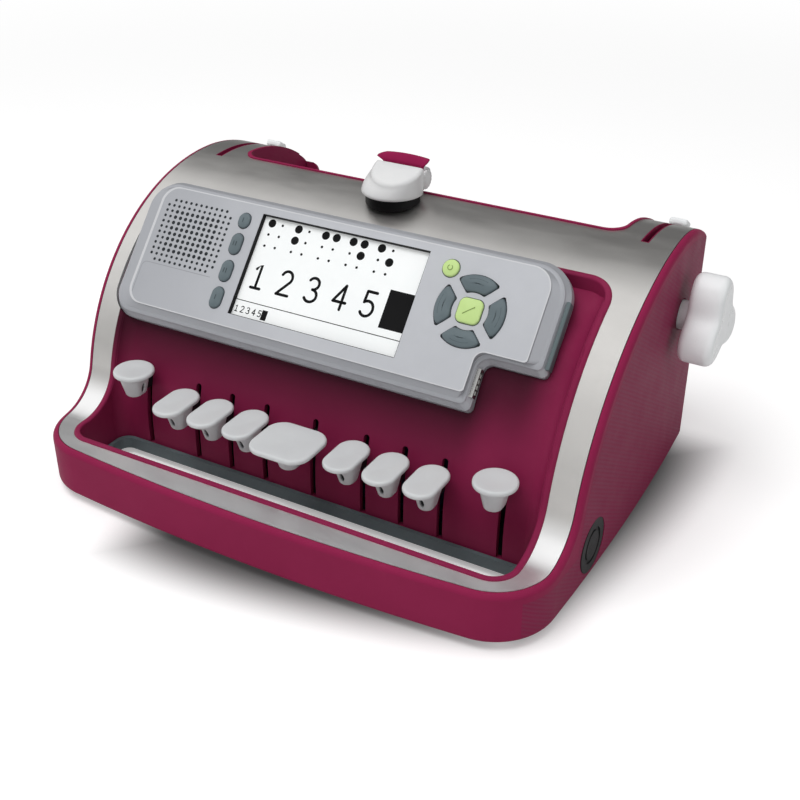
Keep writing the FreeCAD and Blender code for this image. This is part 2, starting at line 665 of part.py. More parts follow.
def stem_wire(x, cap, radius, z):
    """Outline of a cap's stem, longer than wide."""
    y = FRONT_Y + cap["setback"] + cap["stem_back"]
    half_l = radius * STEM_STRETCH
    return rounded_wire(rectangle(x - radius, x + radius, y - half_l, y + half_l, radius - 0.1), z)


def stem_hole(x, cap, z):
    """Narrow slit with pointed ends through the front of a stem."""
    y = FRONT_Y + cap["setback"] + cap["stem_back"] - cap["stem_r"] * STEM_STRETCH
    low = Vector(x, y - 1, z - 3.2)
    high = Vector(x, y - 1, z + 3.2)
    wire = Part.Wire([Part.Arc(low, Vector(x - 1.3, y - 1, z), high).toShape(),
                      Part.Arc(high, Vector(x + 1.3, y - 1, z), low).toShape()])
    return Part.Face(wire).extrude(Vector(0, 5.0, 0))


def make_cap(x, cap, lever):
    """Thin dished cap on a stem that flares to meet it, slit for its lever."""
    y = FRONT_Y + cap["setback"]
    top = BASE_Z + cap["top"]
    under = top - CAP_RIM
    neck = under - CAP_FLARE
    foot = top - cap["total"]
    head = rounded_prism(cap_corners(x, cap, 0.0), under, top)
    head = head.makeFillet(CAP_EDGE_R, edges_where(head, lambda b: b.ZLength < 0.01))
    if math.sqrt(2 * DISH_R * DISH_DEPTH) < cap["width"] / 2 - CAP_EDGE_R:
        head = head.cut(Part.makeSphere(DISH_R, Vector(x, y, top + DISH_R - DISH_DEPTH)))
    throat = stem_wire(x, cap, cap["stem_r"], neck)
    flare = Part.makeLoft([rounded_wire(cap_corners(x, cap, CAP_EDGE_R), under + 0.3), throat], True, True)
    stem = Part.makeLoft([throat, stem_wire(x, cap, cap["foot_r"], foot)], True, True)
    cutters = [lever]
    if cap["hole"]:
        cutters.append(stem_hole(x, cap, (neck + foot) / 2))
    return joined([head, flare, stem]).cut(cutters)


def make_key_shaft():
    """Shaft that carries the nine levers."""
    end = FRAME_X + FRAME_T
    return rod_x(KEY_SHAFT_R, -end, end, PIVOT_Y, PIVOT_Z)


def make_key_springs():
    """Nine torsion springs on the shaft, beside the levers, each with one leg."""
    ring_r = KEY_SHAFT_R + 2 * SPRING_WIRE_R + 0.4
    springs = []
    for _, x, _ in keys():
        start = x + LEVER_T / 2 + 0.8 + SPRING_WIRE_R
        rings = []
        for turn in range(SPRING_TURNS):
            place = Vector(start + turn * 1.8 * SPRING_WIRE_R, PIVOT_Y, PIVOT_Z)
            rings.append(Part.makeTorus(ring_r, SPRING_WIRE_R, place, X_AXIS))
        leg = Part.makeCylinder(SPRING_WIRE_R * 0.9, PIVOT_Z - PAN_Z - 0.1,
                                Vector(start, PIVOT_Y + ring_r, PAN_Z + 0.1), Z_AXIS)
        springs.append(joined(rings + [leg]))
    return Part.makeCompound(springs)


# ---- paper feed and releases ----------------------------------------------
def make_feed_roller():
    """Rubber-covered roller with its shaft, which ends in the knobs."""
    end = WIDTH / 2 + KNOB_GAP + KNOB_T - 6
    shaft = rod_x(FEED_SHAFT_R, -end, end, FEED_Y, FEED_Z)
    return joined([shaft, rod_x(FEED_ROLLER_R, -FEED_ROLLER_HALF, FEED_ROLLER_HALF,
                                FEED_Y, FEED_Z)])


def make_knob():
    """Right-hand knob: a lobed wheel on a hub, its radius a cosine of the angle."""
    start = WIDTH / 2 + KNOB_GAP
    mean = (KNOB_LOBE_R + KNOB_WAIST_R) / 2
    swing = (KNOB_LOBE_R - KNOB_WAIST_R) / 2
    points = []
    steps = 12 * KNOB_LOBES
    for step in range(steps):
        turn = 2 * math.pi * step / steps
        radius = mean + swing * math.cos(KNOB_LOBES * (turn - math.radians(KNOB_TURN)))
        points.append(Vector(start, FEED_Y + radius * math.sin(turn),
                             FEED_Z + radius * math.cos(turn)))
    curve = Part.BSplineCurve()
    curve.interpolate(points, PeriodicFlag=True)
    wheel = Part.Face(Part.Wire(curve.toShape())).extrude(Vector(KNOB_T, 0, 0))
    wheel = wheel.makeFillet(KNOB_EDGE_R, edges_where(wheel, lambda b: b.XLength < 0.1))
    hub = rod_x(KNOB_HUB_R, WIDTH / 2 - SHELL_WALL, start + 2, FEED_Y, FEED_Z)
    bore = rod_x(FEED_SHAFT_R, WIDTH / 2 - 20, start + KNOB_T - 6, FEED_Y, FEED_Z)
    return joined([wheel, hub]).cut(bore)


def make_pressure_roller():
    """Free roller that pinches the paper on the feed roller."""
    end = FRAME_X + FRAME_T
    shaft = rod_x(PINCH_SHAFT_R, -end, end, PINCH_Y, PINCH_Z)
    return joined([shaft, rod_x(PINCH_R, -FEED_ROLLER_HALF, FEED_ROLLER_HALF,
                                PINCH_Y, PINCH_Z)])


def make_release():
    """Right-hand paper release: fan with a curved slot, arm and finger tab.

    It is drawn upright over its pin, then leant back to its place at rest.
    """
    pivot = Vector(0, CREST_Y, REAR_Z)
    left = RELEASE_X - RELEASE_T / 2
    shaft_run = math.hypot(FEED_Y - CREST_Y, FEED_Z - REAR_Z)
    shaft_turn = math.degrees(math.atan2(FEED_Y - CREST_Y, FEED_Z - REAR_Z))
    slot_r = FEED_SHAFT_R + 1.2
    slack = math.degrees(slot_r / shaft_run)
    first = shaft_turn - RELEASE_BACK - slack
    last = shaft_turn - RELEASE_BACK + RELEASE_SWING + slack
    side = math.degrees(4.0 / shaft_run)
    fan = fan_plate(pivot, 0.0, RELEASE_FAN_R, first - side, last + side, left)
    slot = fan_plate(pivot, shaft_run - slot_r, shaft_run + slot_r, first, last, left)
    tab_low = REAR_R + TAB_CLEAR
    half_arm = RELEASE_ARM_W / 2
    arm = box(left, left + RELEASE_T, pivot.y - half_arm, pivot.y + half_arm,
              pivot.z + RELEASE_FAN_R - 4, pivot.z + tab_low + 1)
    tab = box(RELEASE_X - TAB_W / 2, RELEASE_X + TAB_W / 2, pivot.y - TAB_L / 2,
              pivot.y + TAB_L / 2, pivot.z + tab_low, pivot.z + tab_low + TAB_T)
    tab = tab.makeFillet(TAB_R, tab.Edges)
    eye = rod_x(RELEASE_PIN_R + 4, left, left + RELEASE_T, pivot.y, pivot.z)
    bore = rod_x(RELEASE_PIN_R + RUNNING_GAP, left - 5, left + 10, pivot.y, pivot.z)
    lever = joined([fan, eye, arm, tab]).cut([slot, bore])
    lever.rotate(pivot, X_AXIS, -RELEASE_BACK)
    return lever


def fan_plate(pivot, inner, outer, first, last, left):
    """Plate between two radii and two angles behind the upright, in degrees."""
    def at(radius, angle):
        turn = math.radians(angle)
        return Vector(left, pivot.y + radius * math.sin(turn), pivot.z + radius * math.cos(turn))
    middle = (first + last) / 2
    edges = [Part.Arc(at(outer, first), at(outer, middle), at(outer, last)).toShape()]
    if inner > 0:
        edges.append(Part.makeLine(at(outer, last), at(inner, last)))
        edges.append(Part.Arc(at(inner, last), at(inner, middle), at(inner, first)).toShape())
        edges.append(Part.makeLine(at(inner, first), at(outer, first)))
    else:
        edges.append(Part.makeLine(at(outer, last), at(0, middle)))
        edges.append(Part.makeLine(at(0, middle), at(outer, first)))
    return Part.Face(Part.Wire(edges)).extrude(Vector(RELEASE_T, 0, 0))


def make_paper_table():
    """Curved plate that leads the paper from the feed roller to the rear sill."""
    half = FEED_ROLLER_HALF + 5
    sill_z = CREST_Z - SILL_DROP
    front = PINCH_Y + PINCH_R + 2
    back = REAR_Y - SHELL_WALL - FIT
    dip = sill_z - 12
    top = Part.Arc(Vector(-half, front, PINCH_Z - 16), Vector(-half, (front + back) / 2, dip),
                   Vector(-half, back, sill_z - 4)).toShape()
    low = top.copy()
    low.translate(Vector(0, 0, -2.5))
    ends = [Part.makeLine(top.Vertexes[-1].Point, low.Vertexes[-1].Point),
            Part.makeLine(low.Vertexes[0].Point, top.Vertexes[0].Point)]
    wire = Part.Wire(Part.__sortEdges__([top, low] + ends))
    plate = Part.Face(wire).extrude(Vector(2 * half, 0, 0))
    ledge = box(-half, half, back - 3, back, sill_z - 5 - TABLE_LEDGE, sill_z - 5)
    return joined([plate, ledge])


# ---- frame and base -------------------------------------------------------
def rail_places():
    """Side-view places of the two carriage rails."""
    return [(FRONT_Y + setback, BASE_Z + height) for setback, height in (FRONT_RAIL, REAR_RAIL)]


def make_side_frame():
    """Right-hand steel frame: seats for shafts and rails, and the release's pin."""
    back = CORNER_Y + 4
    outline = [(PIVOT_Y - 20, PAN_Z), (back, PAN_Z), (back, FEED_Z + 8), (PINCH_Y + 12, PINCH_Z + 8),
               (FRONT_Y + FRONT_RAIL[0] + 14, BASE_Z + FRONT_RAIL[1] + 9),
               (FRONT_Y + FRONT_RAIL[0] - 10, BASE_Z + FRONT_RAIL[1] + 4), (PIVOT_Y - 20, PIVOT_Z + 20)]
    plate = side_prism(outline, FRAME_X, FRAME_X + FRAME_T)
    foot = box(FRAME_X - 8, FRAME_X + FRAME_T, PIVOT_Y - 20, back, PAN_Z, PAN_Z + FRAME_T)
    pin = rod_x(RELEASE_PIN_R, FRAME_X, RELEASE_X + RELEASE_T / 2 + 1.5, CREST_Y, REAR_Z)
    collar = rod_x(RELEASE_PIN_R + 2.5, FRAME_X, RELEASE_X - RELEASE_T / 2 - 0.3, CREST_Y, REAR_Z)
    bores = [rod_x(KEY_SHAFT_R, 0, WIDTH, PIVOT_Y, PIVOT_Z),
             rod_x(FEED_SHAFT_R + RUNNING_GAP, 0, WIDTH, FEED_Y, FEED_Z),
             rod_x(PINCH_SHAFT_R + RUNNING_GAP, 0, WIDTH, PINCH_Y, PINCH_Z)]
    bores += [rod_x(RAIL_R, 0, WIDTH, y, z) for y, z in rail_places()]
    return joined([plate, foot, collar, pin]).cut(bores)


def make_side_frames():
    """Both side frames."""
    frame = make_side_frame()
    return Part.makeCompound([frame, mirrored(frame)])


def make_base_pan():
    """Bottom plate with the grip opening and the post of the spring drum."""
    pan = casing_plan(SHELL_WALL + FIT, BASE_Z, PAN_Z)
    pan = pan.cut(box(-FAR, FAR, REAR_Y - LOW_CORNER_R - FIT, FAR, 0, FAR))
    grow = LIP_W + FIT
    wall_y = CREST_Y - SLOPE_R + WELL_DEPTH + WELL_WALL
    pan = pan.cut(rounded_prism([(-WELL_HALF - grow, FRONT_Y + WELL_FRONT - grow, WELL_FRONT_R),
                                 (WELL_HALF + grow, FRONT_Y + WELL_FRONT - grow, WELL_FRONT_R),
                                 (WELL_HALF + grow, wall_y + FIT, 0), (-WELL_HALF - grow, wall_y + FIT, 0)],
                                BASE_Z - 5, PAN_Z + 5))
    drum_y = FRONT_Y + DRUM_SETBACK
    drum_z = BASE_Z + DRUM_HEIGHT
    post_y = drum_y + DRUM_W + 6
    post = box(DRUM_X - 6, DRUM_X + 6, post_y, post_y + 3, BASE_Z, drum_z + 6)
    axle = rod_y(3.0, drum_y - 2, post_y + 1, DRUM_X, drum_z)
    return joined([pan, post, axle])


def make_rubber_feet():
    """Four feet under the pan, out of sight from the front."""
    places = [(WIDTH / 2 - FRONT_FOOT[0], FRONT_Y + FRONT_FOOT[1]),
              (WIDTH / 2 - REAR_FOOT[0], REAR_Y - REAR_FOOT[1])]
    feet = []
    for x, y in places:
        foot = Part.makeCone(FOOT_R - 0.8, FOOT_R, FOOT_HEIGHT, Vector(x, y, 0), Z_AXIS)
        feet += [foot, mirrored(foot)]
    return Part.makeCompound(feet)


def make_side_plugs():
    """Round rubber plugs in the casing's sides, each with a raised ring."""
    y = FRONT_Y + PLUG_SETBACK
    z = BASE_Z + PLUG_HEIGHT
    inner = WIDTH / 2 - SHELL_WALL / 2
    disc = rod_x(PLUG_R - FIT, inner, WIDTH / 2 - 0.6, y, z)
    groove = rod_x(PLUG_R - 5, WIDTH / 2 - 1.4, WIDTH / 2 + 5, y, z).cut(
        rod_x(PLUG_R - 7, WIDTH / 2 - 3, WIDTH / 2 + 6, y, z))
    plug = disc.cut(groove)
    return Part.makeCompound([plug, mirrored(plug)])


def make_screws():
    """Screws that hold the pan, in from below."""
    heads = []
    for x, setback in SCREW_PLACES:
        y = FRONT_Y + setback
        head = rod_z(SCREW_HEAD_R, BASE_Z - 1.5, BASE_Z, x, y)
        recess = rod_z(SCREW_R, BASE_Z - 2, BASE_Z - 0.7, x, y)
        head = head.cut(recess)
        heads += [head, mirrored(head)]
    return Part.makeCompound(heads)


# ---- carriage -------------------------------------------------------------
def make_carriage_rails():
    """Two round rails between the side frames."""
    end = FRAME_X + FRAME_T
    return Part.makeCompound([rod_x(RAIL_R, -end, end, y, z) for y, z in rail_places()])


def carriage_arm():
    """Strap from the block up behind the cover's edge and forward over it."""
    back = FRONT_Y + SCOOP_SETBACK + SCOOP_LIP + 2.5
    disc_y = FRONT_Y + DISC_SETBACK
    over = BASE_Z + DISC_TOP
    low = FEED_Z + FEED_ROLLER_R + 1.5
    rear_y = rail_places()[1][0]
    left = CARRIAGE_X - ARM_HALF
    right = CARRIAGE_X + ARM_HALF
    upright = box(left, right, back, back + ARM_T + 1, low, over + ARM_T)
    bridge = box(left, right, rear_y - 6, back + ARM_T + 1, low, low + 6)
    reach = box(left, right, disc_y - 8, back + ARM_T + 1, over, over + ARM_T)
    pin_y, pin_z = grip_pin()
    lug = box(left, right, pin_y - 2, pin_y + 2, over, pin_z)
    barrel = rod_x(GRIP_KNUCKLE_R - 0.3, left, right, pin_y, pin_z)
    pin = rod_x(GRIP_PIN_R, left - 4, right + 4, pin_y, pin_z)
    x0, x1, y0, y1, z0, z1 = HOOD
    edge_y = FRONT_Y + SCOOP_SETBACK
    hood = box(CARRIAGE_X + x0, CARRIAGE_X + x1, edge_y + y0, edge_y + y1, BASE_Z + z0, BASE_Z + z1)
    hood = hood.makeFillet(HOOD_R, hood.Edges)
    return joined([upright, bridge, reach, lug, barrel, pin, hood])


def make_carriage_frame():
    """Block on both rails, with the arm."""
    (front_y, front_z), (rear_y, rear_z) = rail_places()
    ring = RAIL_R + 3.5
    outline = [(front_y - ring, front_z - 4), (front_y - ring, front_z + ring),
               (front_y + ring, front_z + ring), (rear_y + ring, FEED_Z + FEED_ROLLER_R + 7),
               (rear_y + ring, rear_z - ring), (rear_y - 6, rear_z - ring)]
    block = side_prism(outline, CARRIAGE_X - BLOCK_HALF, CARRIAGE_X + BLOCK_HALF)
    bores = [rod_x(RAIL_R + RUNNING_GAP, -WIDTH, WIDTH, y, z) for y, z in rail_places()]
    clear = rod_x(FEED_ROLLER_R + 1, -WIDTH, WIDTH, FEED_Y, FEED_Z)
    return joined([block, carriage_arm()]).cut(bores + [clear])


def make_embossing_head():
    """Head beside the arm, with six styli that face the paper."""
    low = FEED_Z + FEED_ROLLER_R + 8.1
    back = FRONT_Y + SCOOP_SETBACK + SCOOP_LIP + 2
    left = CARRIAGE_X - BLOCK_HALF
    head = box(left, CARRIAGE_X - ARM_HALF - 1, back - 12, back, low, low + 13)
    styli = []
    for column in (0, 1):
        for row in (0, 1, 2):
            styli.append(rod_y(0.8, back - 1, back + 1.5, left + 6 + 2.5 * column,
                               low + 4 + 2.5 * row))
    return joined([head] + styli)


def make_carriage_disc():
    """Soft foot under the cap, its underside tilted to clear the cover's slope."""
    top = BASE_Z + DISC_TOP
    disc = rod_z(DISC_R, top - 20, top, CARRIAGE_X, FRONT_Y + DISC_SETBACK)
    knife = box(-FAR, FAR, -FAR, FAR, -FAR, 0)
    knife.rotate(Vector(0, 0, 0), X_AXIS, DISC_TILT)
    knife.translate(Vector(0, CREST_Y - 5, CREST_Z + DISC_CLEAR))
    return disc.cut(knife)


def grip_cap_wire(radius, flat, z):
    """Round front and straight back, seen from above."""
    x = GRIP_CAP_X
    y = FRONT_Y + GRIP_CAP_SETBACK
    half = math.sqrt(radius ** 2 - flat ** 2)
    right = Vector(x + half, y + flat, z)
    left = Vector(x - half, y + flat, z)
    return Part.Wire([Part.Arc(left, Vector(x, y - radius, z), right).toShape(),
                      Part.makeLine(right, left)])


def make_carriage_cap():
    """Light cap with a round front, a straight back and a sloping top."""
    low = BASE_Z + DISC_TOP
    high = BASE_Z + GRIP_CAP_TOP
    body = Part.makeLoft([grip_cap_wire(GRIP_CAP_R, GRIP_CAP_FLAT, low),
                          grip_cap_wire(GRIP_CAP_R - GRIP_CAP_DRAFT, GRIP_CAP_FLAT, high + 4)],
                         True, True)
    y = FRONT_Y + GRIP_CAP_SETBACK + GRIP_CAP_FLAT
    knife = box(-FAR, FAR, y - FAR, y + 10, high, high + 60)
    knife.rotate(Vector(0, y, high), X_AXIS, GRIP_CAP_TILT)
    body = body.cut(knife)
    crown = edges_where(body, lambda b: b.ZMax > low + 1 and b.ZMin > low + 1)
    body = body.makeFillet(GRIP_CAP_EDGE_R, crown)
    skirt = edges_where(body, lambda b: b.ZMax < low + 0.1 and b.YLength > 5)
    body = body.makeFillet(0.8, skirt)
    return body.cut(carriage_arm())


def grip_y():
    """Front face of the finger grip."""
    return FRONT_Y + GRIP_CAP_SETBACK + GRIP_CAP_FLAT + GRIP_GAP


def grip_pin():
    """Place of the grip's hinge pin in the side view."""
    return grip_y() + GRIP_T / 2, BASE_Z + DISC_TOP + ARM_T + GRIP_KNUCKLE_R + 0.6


def grip_lip(y, bend):
    """Lip of the grip: a plate curled back, its ends flaring to points."""
    low_turn = 180.0
    high_turn = low_turn - GRIP_CURL_TURN
    centre = (y + GRIP_CURL_R, bend)
    x = -WIDTH
    outer = side_arc(centre, GRIP_CURL_R, low_turn, high_turn, x)
    inner = side_arc(centre, GRIP_CURL_R - GRIP_CURL_T, low_turn, high_turn, x)
    ends = [Part.makeLine(outer.Vertexes[index].Point, inner.Vertexes[index].Point) for index in (0, 1)]
    curl = Part.Face(Part.Wire(Part.__sortEdges__([outer, inner] + ends))).extrude(Vector(2 * WIDTH, 0, 0))
    top = bend + GRIP_CURL_R
    half = GRIP_LIP_HALF
    sides = []
    for sign in (-1, 1):
        foot = Vector(GRIP_X + sign * GRIP_HALF, y - 5, bend - 1)
        belly = Vector(GRIP_X + sign * (GRIP_HALF + 0.6), y - 5, bend + GRIP_CURL_R * 0.5)
        tip = Vector(GRIP_LIP_X + sign * half, y - 5, top - 0.3)
        brow = Vector(GRIP_LIP_X + sign * (half - 1.2), y - 5, top + 1)
        sides.append((foot, belly, tip, brow))
    left, right = sides
    edges = [Part.Arc(left[0], left[1], left[2]).toShape(), Part.makeLine(left[2], left[3]),
             Part.makeLine(left[3], right[3]), Part.makeLine(right[3], right[2]),
             Part.Arc(right[2], right[1], right[0]).toShape(), Part.makeLine(right[0], left[0])]
    return curl.common(Part.Face(Part.Wire(edges)).extrude(Vector(0, 40, 0)))


def make_carriage_grip():
    """Finger grip behind the cap: an upright plate with a lip curled back.

    Two knuckles at its foot turn on a pin of the carriage.
    """
    y = grip_y()
    pin_y, pin_z = grip_pin()
    bend = BASE_Z + GRIP_TOP - GRIP_CURL_R
    plate = box(GRIP_X - GRIP_HALF, GRIP_X + GRIP_HALF, y, y + GRIP_CURL_T, pin_z - 5, bend + 0.5)
    left = CARRIAGE_X - ARM_HALF
    right = CARRIAGE_X + ARM_HALF
    knuckles = [rod_x(GRIP_KNUCKLE_R, left - 4, left - 0.4, pin_y, pin_z),
                rod_x(GRIP_KNUCKLE_R, right + 0.4, right + 4, pin_y, pin_z)]
    notch = box(left - 0.4, right + 0.4, y - 1, y + GRIP_T + 1, 0, pin_z + GRIP_KNUCKLE_R + 0.6)
    bore = rod_x(GRIP_PIN_R + RUNNING_GAP, left - 8, right + 8, pin_y, pin_z)
    return joined([plate.cut(notch), grip_lip(y, bend)] + knuckles).cut(bore)


def make_spring_drum():
    """Mainspring drum that pulls the carriage."""
    y = FRONT_Y + DRUM_SETBACK
    z = BASE_Z + DRUM_HEIGHT
    drum = rod_y(DRUM_R, y, y + DRUM_W, DRUM_X, z)
    groove = rod_y(DRUM_R + 2, y + 3, y + DRUM_W - 3, DRUM_X, z).cut(
        rod_y(DRUM_R - 2, y + 2, y + DRUM_W - 2, DRUM_X, z))
    bore = rod_y(3.0 + RUNNING_GAP, y - 1, y + DRUM_W + 1, DRUM_X, z)
    holes = []
    for step in range(5):
        turn = 2 * math.pi * step / 5
        holes.append(rod_y(3.2, y - 1, y + DRUM_W + 1, DRUM_X + 10 * math.cos(turn),
                           z + 10 * math.sin(turn)))
    return drum.cut([groove, bore] + holes)


# ---- display module -------------------------------------------------------
def placed(shape):
    """Move a piece from the module's own plane to its place on the slope."""
    shape.rotate(Vector(0, 0, 0), X_AXIS, MODULE_TILT)
    shape.translate(Vector(0, MODULE_Y, MODULE_Z))
    return shape


def module_outline(inset=0.0):
    """Corners of the module's outline, inset all round."""
    left = MODULE_LEFT + inset
    right = MODULE_RIGHT - inset
    low = MODULE_LOW + inset
    top = MODULE_TOP - inset
    return [(left, low, 15 - inset), (NOTCH_U - inset, low, 3),
            (NOTCH_U - inset, NOTCH_V + inset, 5 + inset), (right, NOTCH_V + inset, 3),
            (right, top, 20 - inset), (left, top, 18 - inset)]


def panel_outline(inset=0.0):
    """Corners of the raised panel in the module's face, inset all round."""
    right = PANEL_RIGHT - inset
    notch_u = PANEL_NOTCH_U - inset
    notch_v = PANEL_NOTCH_V + inset
    return [(PANEL_LEFT + inset, PANEL_LOW + inset, 10), (notch_u, PANEL_LOW + inset, 2),
            (notch_u, notch_v, 5 + inset), (right, notch_v, 2),
            (right, PANEL_TOP - inset, 12), (PANEL_LEFT + inset, PANEL_TOP - inset, 10)]


def grille_dots():
    """Place and radius of each speaker hole; the outer ones are smaller."""
    dots = []
    for column in range(GRILLE_COLUMNS):
        for row in range(GRILLE_ROWS):
            side = min(column, GRILLE_COLUMNS - 1 - column)
            end = min(row, GRILLE_ROWS - 1 - row)
            if side + end < 1:
                continue
            radius = GRILLE_DOT_R if min(side, end) >= 2 else GRILLE_RIM_DOT_R
            u = GRILLE_U + (column - (GRILLE_COLUMNS - 1) / 2) * GRILLE_PITCH_U
            v = GRILLE_V + (row - (GRILLE_ROWS - 1) / 2) * GRILLE_PITCH_V
            dots.append((u, v, radius))
    return dots


def make_module_front(buttons):
    """Front half shell: bevelled frame, raised panel, window and holes."""
    wires = [rounded_wire(module_outline(), -MODULE_SPLIT)]
    for inset, rise in MODULE_RIDGE:
        wires.append(rounded_wire(module_outline(MODULE_DRAFT + inset), rise - MODULE_BEVEL))
    wires.append(rounded_wire(panel_outline(), -PANEL_RISE))
    layers = [Part.makeLoft([low, high], True, True) for low, high in zip(wires, wires[1:])]
    panel = rounded_prism(panel_outline(0.3), -PANEL_RISE - 0.5, 0)
    panel = panel.makeFillet(0.6, edges_where(panel, lambda b: b.ZMin > -0.01))
    shell = joined(layers + [panel])
    cavity = rounded_prism(module_outline(MODULE_SKIN + MODULE_DRAFT), -MODULE_SPLIT - 1,
                           -MODULE_BEVEL - MODULE_SKIN)
    pocket = rounded_prism(panel_outline(MODULE_SKIN), -MODULE_SPLIT - 1, -MODULE_SKIN)
    window = box(SCREEN_LEFT, SCREEN_RIGHT, SCREEN_LOW, SCREEN_TOP, -MODULE_SPLIT, 5)
    dots = [rod_z(radius, -MODULE_SKIN - 1, 1, u, v) for u, v, radius in grille_dots()]
    return shell.cut([cavity, pocket, window] + dots).cut(buttons)


def make_module_back():
    """Rear half shell, a tray."""
    tray = rounded_prism(module_outline(), -MODULE_T, -MODULE_SPLIT)
    hollow = rounded_prism(module_outline(MODULE_SKIN), -MODULE_T + MODULE_SKIN, -MODULE_SPLIT + 1)
    return tray.cut(hollow)


def make_lcd_panel():
    """Display, sunk under the window, on the board."""
    edge = 2.0
    glass = box(SCREEN_LEFT - edge, SCREEN_RIGHT + edge, SCREEN_LOW - edge, SCREEN_TOP + edge,
                -SCREEN_SINK - SCREEN_T, -SCREEN_SINK)
    return glass


def make_circuit_board():
    """Board behind the display and the buttons, in the rear tray."""
    high = -MODULE_SPLIT - 0.1
    return rounded_prism(module_outline(MODULE_SKIN + 0.6), high - BOARD_T, high)


def make_battery_pack():
    """Two round cells side by side in a flat holder on the base pan."""
    y = FRONT_Y + BATTERY_SETBACK
    half = 2 * CELL_R + 2
    tray = box(BATTERY_X, BATTERY_X + CELL_LENGTH + 6, y - half, y + half, PAN_Z, PAN_Z + 4)
    cells = [rod_x(CELL_R, BATTERY_X + 3, BATTERY_X + 3 + CELL_LENGTH, y + side * (CELL_R + 0.5),
                   PAN_Z + CELL_R + 2) for side in (-1, 1)]
    return joined([tray] + cells)


def make_speaker():
    """Round speaker behind the grille."""
    rim = rod_z(SPEAKER_R, -MODULE_SKIN - 2.0, -MODULE_SKIN - 0.1, GRILLE_U, GRILLE_V)
    magnet = rod_z(SPEAKER_R / 2, -MODULE_SKIN - 4.4, -MODULE_SKIN - 1.5, GRILLE_U, GRILLE_V)
    return joined([rim, magnet])


def make_module_side_strip():
    """Dark strip let into the module's right-hand side."""
    u = MODULE_RIGHT
    strip = box(u - 1.2, u + 0.9, NOTCH_V + 4, MODULE_TOP - 18, -MODULE_T + 2.4, -MODULE_BEVEL - 1.4)
    return strip.makeFillet(0.7, edges_where(strip, lambda b: b.XMin > u))


def card_port_block():
    """Block that the card port fills in the module's side."""
    low = MODULE_LOW + 7
    return box(NOTCH_U - 2.8, NOTCH_U + 0.3, low, low + 15, -MODULE_T + 3.4, -MODULE_BEVEL - 1.6)


def make_card_port():
    """Metal socket in the notch's side: a frame round four contact bars."""
    u = NOTCH_U
    low = MODULE_LOW + 7
    deep = -MODULE_T + 3.4
    face = -MODULE_BEVEL - 1.6
    frame = card_port_block().cut(box(u - 1.4, u + 5, low + 1.2, low + 13.8, deep + 0.9, face - 0.9))
    bars = []
    for step in range(4):
        v = low + 1.9 + step * 3.0
        bars.append(box(u - 2, u - 0.4, v, v + 2.0, deep + 0.5, face - 0.5))
    return joined([frame] + bars)


def button(corners):
    """Push button: rounded top proud of the panel, with a flange behind it."""
    body = rounded_prism(corners, -MODULE_SKIN - 1.0, BUTTON_STAND)
    body = body.makeFillet(0.7, edges_where(body, lambda b: b.ZMin > BUTTON_STAND - 0.01))
    (x0, y0, radius), _, (x1, y1, _), _ = corners
    grow = BUTTON_FLANGE
    wide = rectangle(x0 - grow, x1 + grow, y0 - grow, y1 + grow, radius + grow)
    return joined([body, rounded_prism(wide, -MODULE_SKIN - 1.1, -MODULE_SKIN - 0.1)])


def side_button(v, height, grow=0.0):
    """Corners of one of the upright buttons left of the display."""
    half = SIDE_BUTTON_W / 2 + grow
    return rectangle(SIDE_BUTTON_U - half, SIDE_BUTTON_U + half, v - height / 2 - grow,
                     v + height / 2 + grow, half - 0.02)


def pad_prism(name, grow, low, high):
    """Quarter ring of the pad, between parallel gaps along the diagonals."""
    ring = rod_z(PAD_R + grow, low, high, 0, 0).cut(
        rod_z(PAD_HOLE_R - grow, low - 1, high + 1, 0, 0))
    gap = PAD_GAP / 2 - grow
    shift = gap * math.sqrt(2)
    wedge = Part.Face(Part.makePolygon([Vector(0, shift, low), Vector(FAR, FAR + shift, low),
                                        Vector(-FAR, FAR + shift, low), Vector(0, shift, low)]))
    quarter = ring.common(wedge.extrude(Vector(0, 0, high - low)))
    uprights = edges_where(quarter, lambda b: b.ZLength > high - low - 0.01 and b.XLength < 0.01)
    quarter = quarter.makeFillet(PAD_CORNER_R, uprights)
    turn = {"pad_up": 0, "pad_left": 90, "pad_down": 180, "pad_right": 270}[name]
    quarter.rotate(Vector(0, 0, 0), Z_AXIS, turn)
    quarter.translate(Vector(PAD_U, PAD_V, 0))
    return quarter


def pad_button(name):
    """One arrow button of the pad."""
    body = pad_prism(name, 0, -MODULE_SKIN - 1.0, BUTTON_STAND)
    body = body.makeFillet(0.6, edges_where(body, lambda b: b.ZMin > BUTTON_STAND - 0.01))
    flange = pad_prism(name, BUTTON_FLANGE, -MODULE_SKIN - 1.1, -MODULE_SKIN - 0.1)
    return joined([body, flange])


